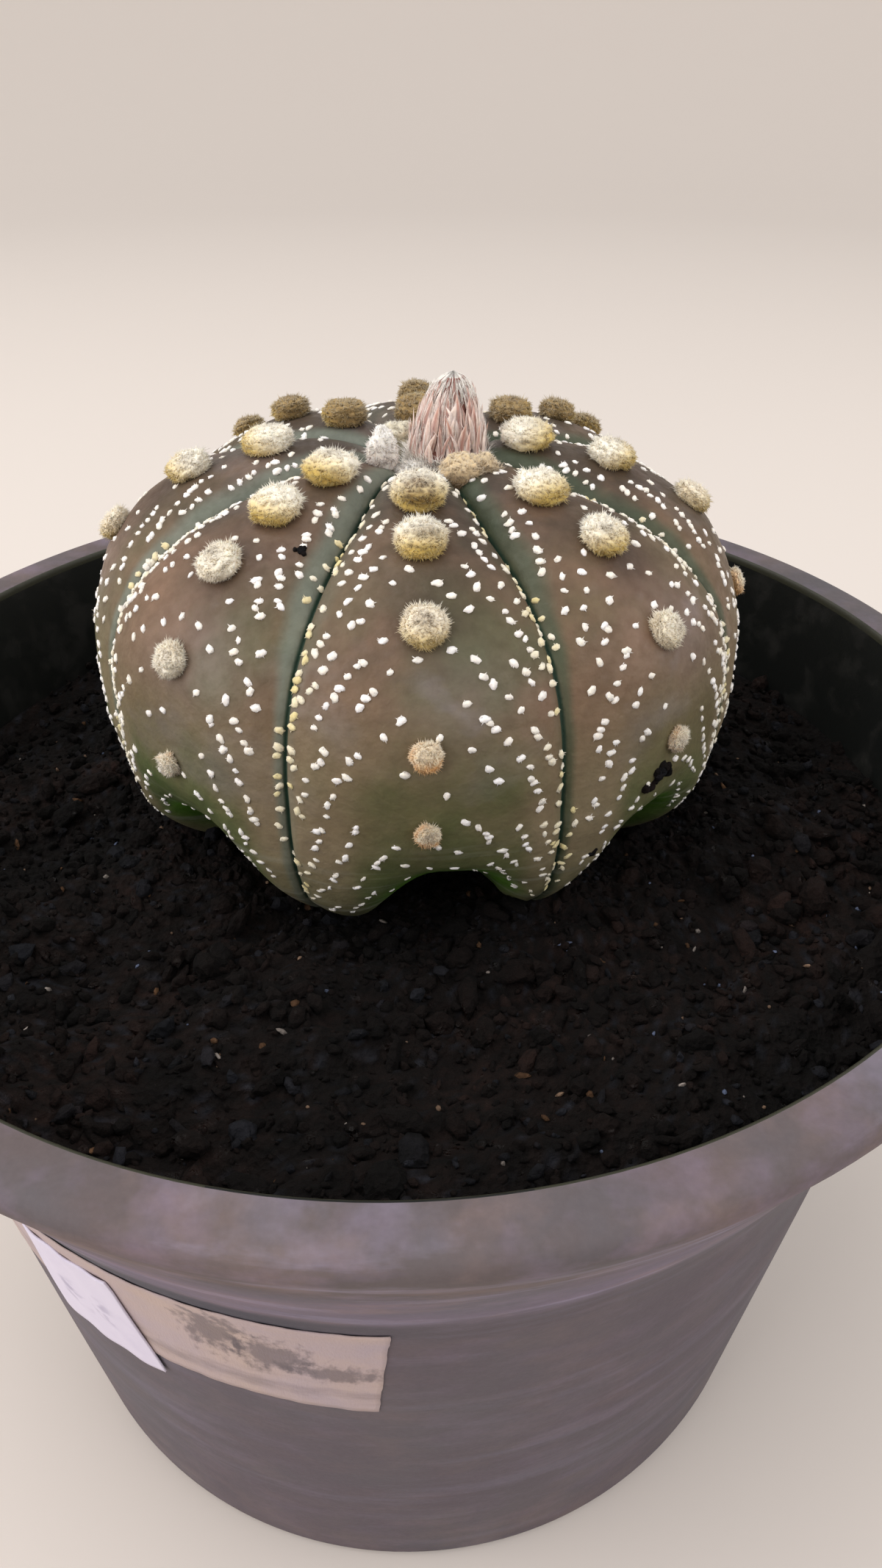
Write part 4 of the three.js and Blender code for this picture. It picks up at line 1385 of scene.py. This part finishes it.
@dataclass
class Pot:
    """The nursery pot: a body cone that flares into a soft collar with a rolled lip."""

    height: float = 90.0
    collar_radius: float = 66.4
    lip_radius: float = 65.0
    mouth_radius: float = 61.2
    mouth_drop: float = 0.8
    base_radius: float = 50.8
    body_slope: float = 0.095
    flare_start: float = 58.0
    collar_slope: float = 0.43
    fillet: float = 1.8
    wall: float = 1.4
    lip_height: float = 2.2
    floor_top: float = 4.0
    foot_recess: float = 2.2
    foot_inner: float = 44.0
    foot_outer: float = 49.2
    step_height: float = 70.6
    step_depth: float = 0.05
    drain_radius: float = 4.5
    drain_ring: float = 30.0
    drain_count: int = 6
    sides: int = 192

    @staticmethod
    def bend(first: Pair, middle: Pair, last: Pair, count: int) -> list[Pair]:
        """Points of a quadratic curve, without its first one."""
        share = np.linspace(0, 1, count + 1)[1:, None]
        a, b, c = (np.array(p, float) for p in (first, middle, last))
        found = a * (1 - share) ** 2 + 2 * b * share * (1 - share) + c * share**2
        return [(float(x), float(y)) for x, y in found]

    def body(self, level: float) -> Pair:
        """The body cone's outline at a height."""
        return (self.base_radius + self.body_slope * level, level)

    def outside(self) -> list[Pair]:
        """The wall's outer outline from the foot to the widest part of the collar."""
        start = self.body(self.flare_start)
        end = (self.collar_radius, self.height - self.lip_height)
        rise = (end[0] - start[0] - self.collar_slope * (end[1] - start[1])) / (self.body_slope - self.collar_slope)
        corner = (start[0] + self.body_slope * rise, start[1] + rise)
        foot = (self.foot_outer, 0.0)
        line = [foot, *self.bend(foot, (self.base_radius, 0), self.body(self.fillet), 5)]
        for share in np.linspace(0, 1, 9)[1:]:
            line.append(self.body(self.fillet + (self.flare_start - self.fillet) * share))
        return line + self.bend(start, corner, end, 26)

    def wall_radius(self, height: Array) -> Array:
        """The outer radius at heights."""
        radii, levels = zip(*self.outside())
        return np.interp(height, levels, radii)

    def inside(self) -> list[Pair]:
        """The wall's inner outline from the mouth down to the floor."""
        straight = self.body(self.flare_start)[0] - self.wall
        mouth = (self.mouth_radius, self.height - self.mouth_drop)
        line = self.bend(mouth, (straight + 3.1, self.height - 20), (straight, self.flare_start), 14)
        return line + [(self.base_radius - self.wall, self.floor_top)]

    def outline(self) -> list[Pair]:
        """The whole section, from the axis under the floor round to the axis over it."""
        outside = [(r - self.step_depth * float(smooth(self.step_height + 0.5 - h, 0, 1))
                    * float(smooth(h, self.step_height - 16, self.step_height - 4)), h) for r, h in self.outside()]
        lip = self.bend(outside[-1], (self.collar_radius + 0.3, self.height - 0.3), (self.lip_radius, self.height), 6)
        lip += [(self.mouth_radius + 0.5, self.height)]
        lip += self.bend(lip[-1], (self.mouth_radius + 0.1, self.height),
                         (self.mouth_radius, self.height - self.mouth_drop), 4)
        return [(0.0, self.foot_recess), (self.foot_inner, self.foot_recess), (self.foot_inner + 1.2, 0.0),
                *outside, *lip, *self.inside(), (0.0, self.floor_top)]

    def build(self) -> None:
        """The pot, with its drain holes and three finishes."""
        piece = revolve("nursery_pot", self.outline(), self.sides)
        turns = np.arange(self.drain_count) * 360.0 / self.drain_count
        for place in around(turns, np.full(len(turns), self.drain_ring), 3.0) * MM:
            cutter = new(bpy.ops.mesh.primitive_cylinder_add, vertices=24, radius=self.drain_radius * MM,
                         depth=12 * MM, location=tuple(place))
            apply(piece, "BOOLEAN", operation="DIFFERENCE", object=cutter)
            bpy.data.objects.remove(cutter)
        put(piece, self.warp(places(piece)))
        seat(piece, Slot.POT, "pot", PotFinish().material(),
             InnerPotFinish("pot_inside", tone(19, 21, 20), tone(40, 38, 35)).material(),
             InnerPotFinish("pot_lip_edge", tone(48, 48, 36), tone(38, 38, 31)).material())
        for face in piece.data.polygons:
            middle, normal = face.center / MM, face.normal
            out = math.hypot(middle.x, middle.y)
            inward = middle.x * normal.x + middle.y * normal.y < 0
            if middle.z > self.height - 0.9 and out < self.mouth_radius + 0.6:
                face.material_index = 2
            elif middle.z > self.floor_top - 0.1 and (inward or (normal.z > 0.9 and out < 60)):
                face.material_index = 1

    @staticmethod
    def warp(points: Array) -> Array:
        """Places moved with the thin wall's slight unevenness."""
        radius = np.hypot(points[:, 0], points[:, 1])
        skew = 0.2 * ripple(points * np.array([1, 1, 0.4]), 55, 8) * smooth(points[:, 2], 8, 60)
        factor = np.where(radius > 45, 1 + skew / np.maximum(radius, 1), 1)
        return points * np.stack([factor, factor, np.ones(len(points))], axis=1)

    def sheet(self, name: str, cells: tuple[int, int], lay: Callable[[Array, Array], tuple[Array, Array, Array]],
              thick: float, offset: float) -> Piece:
        """A thin sheet on the wall.

        Args:
            name: its name.
            cells: how many cells it has along and across.
            lay: gives the turn, the distance from the axis and the height of places along and across it.
            thick: its thickness.
            offset: 1 if all of the thickness lies outside those places, 0 if half of it does.

        Returns:
            The piece, still to be dressed.
        """
        piece = new(bpy.ops.mesh.primitive_grid_add, name, x_subdivisions=cells[0], y_subdivisions=cells[1], size=2)
        along, across, _ = (places(piece).T * MM + 1) / 2
        put(piece, self.warp(around(*lay(along, across))))
        apply(piece, "SOLIDIFY", thickness=thick * MM, offset=offset)
        return piece


@dataclass
class Soil:
    """Damp potting mix: a rough surface with thousands of loose crumbs."""

    pot: Pot
    stem: Stem
    level: float = 75.0
    swell: float = 0.7
    gap: float = 0.3
    sides: int = 320
    rings: int = 92
    crumbs: int = 7600
    clods: int = 300
    reach: float = 58.0
    black: Colour = tone(10, 6, 5)
    brown: Colour = tone(40, 26, 22)
    slate: Colour = tone(34, 35, 41)
    bark: Colour = tone(92, 66, 46)
    # partly pale grains, partly painted glints: pale tones for a few small crumbs
    grit_and_glints: tuple[Colour, ...] = (tone(178, 166, 158), tone(160, 130, 108), tone(126, 138, 170))
    stuck: tuple[tuple[float, float, float], ...] = (
        (331, 34, 0.7), (40, 92, 1.2), (38, 95, 0.9), (28, 104, 0.5), (300, 104, 0.6),
        (141, 101, 1.1), (223, 108, 0.9))
    stuck_lumps: int = 9
    seed: int = 21

    def height_at(self, points: Array) -> Array:
        """The rough surface's height at places."""
        x, y = points[:, 0], points[:, 1]
        flat = np.stack([x, y, 0 * x], axis=1)
        base = self.swell * (np.sin(x * 0.19 + y * 0.07) + np.sin(y * 0.23 - x * 0.11 + 1))
        rough = 0.5 * ripple(flat, 9, 5) + 0.34 * ripple(flat, 3.6, 6) + 0.22 * ripple(flat, 1.7, 7)
        return self.level + base + rough

    def tint(self, points: Array, draw: Chance) -> Array:
        """Colours for places or crumbs."""
        count = len(points)
        patch = ripple(points * np.array([1, 1, 0]), 22, 9)
        colour = blend(self.black, self.brown, np.clip(0.4 + 0.45 * patch, 0, 1) * draw.uniform(0, 1, count))
        colour = blend(colour, self.slate, (draw.random(count) < 0.1) * draw.uniform(0.3, 1, count))
        return colour * draw.uniform(0.6, 1.25, (count, 1))

    def bed(self, finish: Material) -> None:
        """The body of the soil, closed, with its rough top."""
        inside, floor = self.pot.inside()[::-1], self.pot.floor_top + self.gap
        inner = [(r - self.gap, max(h, floor)) for r, h in inside if h < self.level - 0.5]
        radii, levels = zip(*inside)
        edge = float(np.interp(self.level, levels, radii)) - self.gap
        top = [(edge * (1 - step / self.rings), self.level) for step in range(self.rings)]
        piece = revolve("soil_bed", [(0.0, floor), *inner, *top, (0.0, self.level)], self.sides)
        points = places(piece)
        rim = smooth(np.hypot(points[:, 0], points[:, 1]), edge - 0.2, edge - 2.5)
        raised = self.level - 0.4 + (self.height_at(points) - self.level + 0.4) * rim
        points[:, 2] = np.where(np.abs(points[:, 2] - self.level) < 1e-4, raised, points[:, 2])
        put(piece, points)
        paint(piece, self.tint(points, np.random.default_rng(self.seed)))
        seat(piece, Slot.SOIL, "soil", finish)

    def scatter(self, heap: Heap, lump: Stamp, count: int, sizes: tuple[float, float, float, float], draw: Chance
                ) -> None:
        """Strews lumps over the bed, clear of the plant's neck.

        Args:
            heap: what gathers the piece.
            lump: the shape of one of them.
            count: how many.
            sizes: the middle and the spread of their size's logarithm, its least and its greatest.
            draw: the source of chance.
        """
        reach = self.reach * np.sqrt(draw.uniform(0, 1, count))
        swing = draw.uniform(0, CIRCLE, count)
        spots = np.stack([reach * np.cos(swing), reach * np.sin(swing), 0 * reach], axis=1)
        spots = spots[np.hypot(spots[:, 0] - self.stem.centre[0], spots[:, 1] - self.stem.centre[1]) > 20]
        count = len(spots)
        size = np.clip(draw.lognormal(sizes[0], sizes[1], count), sizes[2], sizes[3])
        spots[:, 2] = self.height_at(spots) + size * 0.15
        axis = draw.normal(size=(count, 3)) * np.array([1, 1, 1.6])
        long_way = draw.uniform(0.7, 1.3, count) * np.where(draw.random(count) < 0.15, 1.7, 1.0)
        bases = turned_bases(axis, size * long_way, size * draw.uniform(0.5, 1, count),
                             size * draw.uniform(0.35, 0.8, count), draw.uniform(0, 6.28, count))
        colour = self.tint(spots, draw)
        colour = blend(colour, self.bark, (draw.random(count) < 0.02) * (size < 0.9))
        # a few small crumbs take pale tones: partly real pale grains, partly painted glints
        chance = draw.random(count) * (size < 0.4)
        for number, pale in enumerate(self.grit_and_glints):
            share = (chance > 0.937 + 0.021 * number) * (chance < 0.958 + 0.021 * number)
            colour = blend(colour, pale, share * draw.uniform(0.5, 1, count))
        heap.add(lump, spots, bases, colour, jitter=draw.uniform(0.72, 1.3, (count, len(lump.points))))

    def build(self) -> None:
        """The bed, the crumbs that lie on it and the dirt that sticks to the plant."""
        finish = SoilFinish().material()
        self.bed(finish)
        draw = np.random.default_rng(self.seed + 1)
        heap, clod = Heap(), Stamp.lump(2)
        self.scatter(heap, Stamp.lump(1), self.crumbs, (-0.95, 0.6, 0.16, 1.5), draw)
        self.scatter(heap, clod, self.clods, (0.25, 0.32, 0.9, 2.1), draw)
        stuck = np.repeat(np.array(self.stuck), self.stuck_lumps, axis=0)
        stuck[:, :2] += draw.normal(0, 0.65, (len(stuck), 2)) * stuck[:, 2:]
        size = stuck[:, 2] * draw.uniform(0.35, 0.65, len(stuck))
        here, _, _, out = self.stem.frames(stuck[:, 0], stuck[:, 1])
        heap.add(clod, here, turned_bases(out, size, size * 0.9, size * 0.8, stuck[:, 0]), self.tint(here, draw),
                 jitter=draw.uniform(0.8, 1.2, (len(stuck), len(clod.points))))
        seat(heap.build("soil_crumbs"), Slot.SOIL, "", finish)


@dataclass
class Tape:
    """The strip of masking tape under the collar, with a ragged cut end."""

    pot: Pot
    start: float = -96.0
    end: float = -2.1
    low: float = 46.9
    high: float = 66.1
    off: float = 0.02
    thick: float = 0.1
    end_slant: float = 1.8

    def lay(self, along: Array, across: Array) -> tuple[Array, Array, Array]:
        """The turn, distance from the axis and height of places on the tape."""
        ragged = 0.05 * np.sin(across * 23) + 0.04 * np.sin(across * 61 + 1)
        stop = self.end - self.end_slant * (1 - across) + ragged * smooth(across, 0, 0.15)
        turn = self.start + (stop - self.start) * along
        height = self.low + (self.high - self.low) * across
        height += 0.12 * np.sin(turn * 0.31) + 0.06 * np.sin(turn * 1.3 + across * 4)
        crinkle = 0.05 * np.sin(turn * 2.6 + across * 3) + 0.06 * np.sin(turn * 0.9 - across * 7)
        return turn, self.pot.wall_radius(height) + self.off + 0.3 * crinkle, height

    def build(self) -> None:
        """The tape, bent round the wall."""
        piece = self.pot.sheet("tape_band", (180, 20), self.lay, self.thick, 1)
        seat(piece, Slot.TAPE, "tape_strip", TapeFinish().material())


@dataclass
class Label:
    """The bare paper sticker on the tape, a little askew and lifted off the wall at its front corner."""

    pot: Pot
    start: float = -42.5
    end_high: float = -29.6
    end_low: float = -27.1
    low: float = 43.4
    high: float = 60.5
    slope: float = 0.1
    off: float = 0.24
    lift: float = 0.1
    thick: float = 0.2

    def lay(self, along: Array, across: Array) -> tuple[Array, Array, Array]:
        """The turn, distance from the axis and height of places on the label."""
        stop = self.end_low + (self.end_high - self.end_low) * across
        turn = self.start + (stop - self.start) * along
        height = self.low + (self.high - self.low) * across + self.slope * (1 + across) * (turn - stop)
        curl = smooth(along, 0.5, 1) * (1 - 0.55 * across) * self.lift
        return turn, self.pot.wall_radius(height) + self.off + curl + 0.06 * np.sin(along * 17 + across * 5), height

    def build(self) -> None:
        """The label, stiff, which springs off the wall in front."""
        piece = self.pot.sheet("paper_sticker", (90, 40), self.lay, self.thick, 0)
        seat(piece, Slot.PAPER, "paper_label", PaperFinish().material())


@dataclass
class Studio:
    """A round pale floor that rises to a rim, soft light and the camera."""

    floor: Colour = tone(214, 205, 198)
    air: Colour = (1.0, 0.985, 0.97, 1)
    radius: float = 1.6
    flat: float = 0.6
    rim: float = 0.55
    steps: int = 10
    camera_place: tuple[float, float, float] = (0.0, -0.1050, 0.1552)
    camera_turn: tuple[float, float, float] = (54.21, -0.03, -2.30)
    lens: float = 25.3

    def lay_floor(self) -> None:
        """The floor: a disc whose edge is carried up in steps, and which is then closed again."""
        last_reach, last_rise = self.radius * self.flat, 0.0
        floor = new(bpy.ops.mesh.primitive_circle_add, "studio_floor", vertices=96, radius=last_reach,
                    fill_type="NGON")
        with editing("SELECT"):
            for step in range(1, self.steps + 1):
                swing = math.pi / 2 * step / self.steps
                reach = self.radius * (self.flat + (1 - self.flat) * math.sin(swing))
                rise = self.rim * (1 - math.cos(swing))
                bpy.ops.mesh.extrude_region_move(TRANSFORM_OT_translate={"value": (0, 0, rise - last_rise)})
                bpy.ops.transform.resize(value=(reach / last_reach, reach / last_reach, 1))
                last_reach, last_rise = reach, rise
            bpy.ops.mesh.delete(type="ONLY_FACE")
            bpy.ops.mesh.select_all(action="DESELECT")
            bpy.ops.mesh.select_mode(type="VERT")
        for vertex in floor.data.vertices:
            vertex.select = vertex.co.z < 1e-6
        with editing():
            bpy.ops.mesh.edge_face_add()
            bpy.ops.mesh.select_all(action="SELECT")
            bpy.ops.mesh.normals_make_consistent(inside=True)
        coat = Coat("studio_floor")
        dress(floor, coat.done(self.floor, coat.span(coat.mottle(6, 0.4, 0.6), 0, 1, 0.85, 0.95), None))

    @staticmethod
    def lamp(name: str, place: tuple[float, float, float], size: float, power: float,
             colour: tuple[float, float, float]) -> None:
        """One square soft light that looks at the plant."""
        light = new(bpy.ops.object.light_add, "light_" + name, type="AREA", location=place)
        light.data.size, light.data.energy, light.data.color = size, power, colour
        light.rotation_euler = (Vector((0, 0, 0.09)) - Vector(place)).to_track_quat("-Z", "Y").to_euler()

    def build(self) -> None:
        """The floor, the lights, the world and the camera."""
        self.lay_floor()
        self.lamp("key", (-0.3, 0.1, 0.95), 0.7, 3.4, (1.0, 0.98, 0.95))
        self.lamp("fill", (0.75, -0.25, 0.55), 0.8, 3.2, (0.97, 0.98, 1.0))
        self.lamp("front", (-1.15, -0.42, 0.52), 1.2, 12.2, (1.0, 0.98, 0.98))
        scene = bpy.context.scene
        scene.world = bpy.data.worlds.new("studio")
        scene.world.use_nodes = True
        sky = scene.world.node_tree.nodes["Background"].inputs
        sky[0].default_value, sky[1].default_value = self.air, 0.76
        scene.view_settings.view_transform = "Standard"
        scene.camera = new(bpy.ops.object.camera_add, location=self.camera_place,
                           rotation=tuple(math.radians(a) for a in self.camera_turn))
        scene.camera.data.lens = self.lens
        scene.camera.data.clip_start = 0.001


def main() -> None:
    """Builds every sub-assembly in order."""
    logging.basicConfig(level=logging.INFO, format="%(name)s %(message)s")
    pot = Pot()
    stem = Stem()
    pot.build()
    Soil(pot, stem).build()
    stem.build()
    Flecks(stem).build()
    hair = Stamp.hair()
    wool = WoolFinish().material()
    pads = [(rib, place) for rib, form in enumerate(stem.ribs) for place in range(len(form.cushions))]
    for number, (rib, place) in enumerate(pads):
        WoolCushion(stem, rib, place).build(number, hair, wool)
    Crown(stem, Stamp.hair(0.5), hair).build()
    Tape(pot).build()
    Label(pot).build()
    Studio().build()


if __name__ == "__main__":
    main()
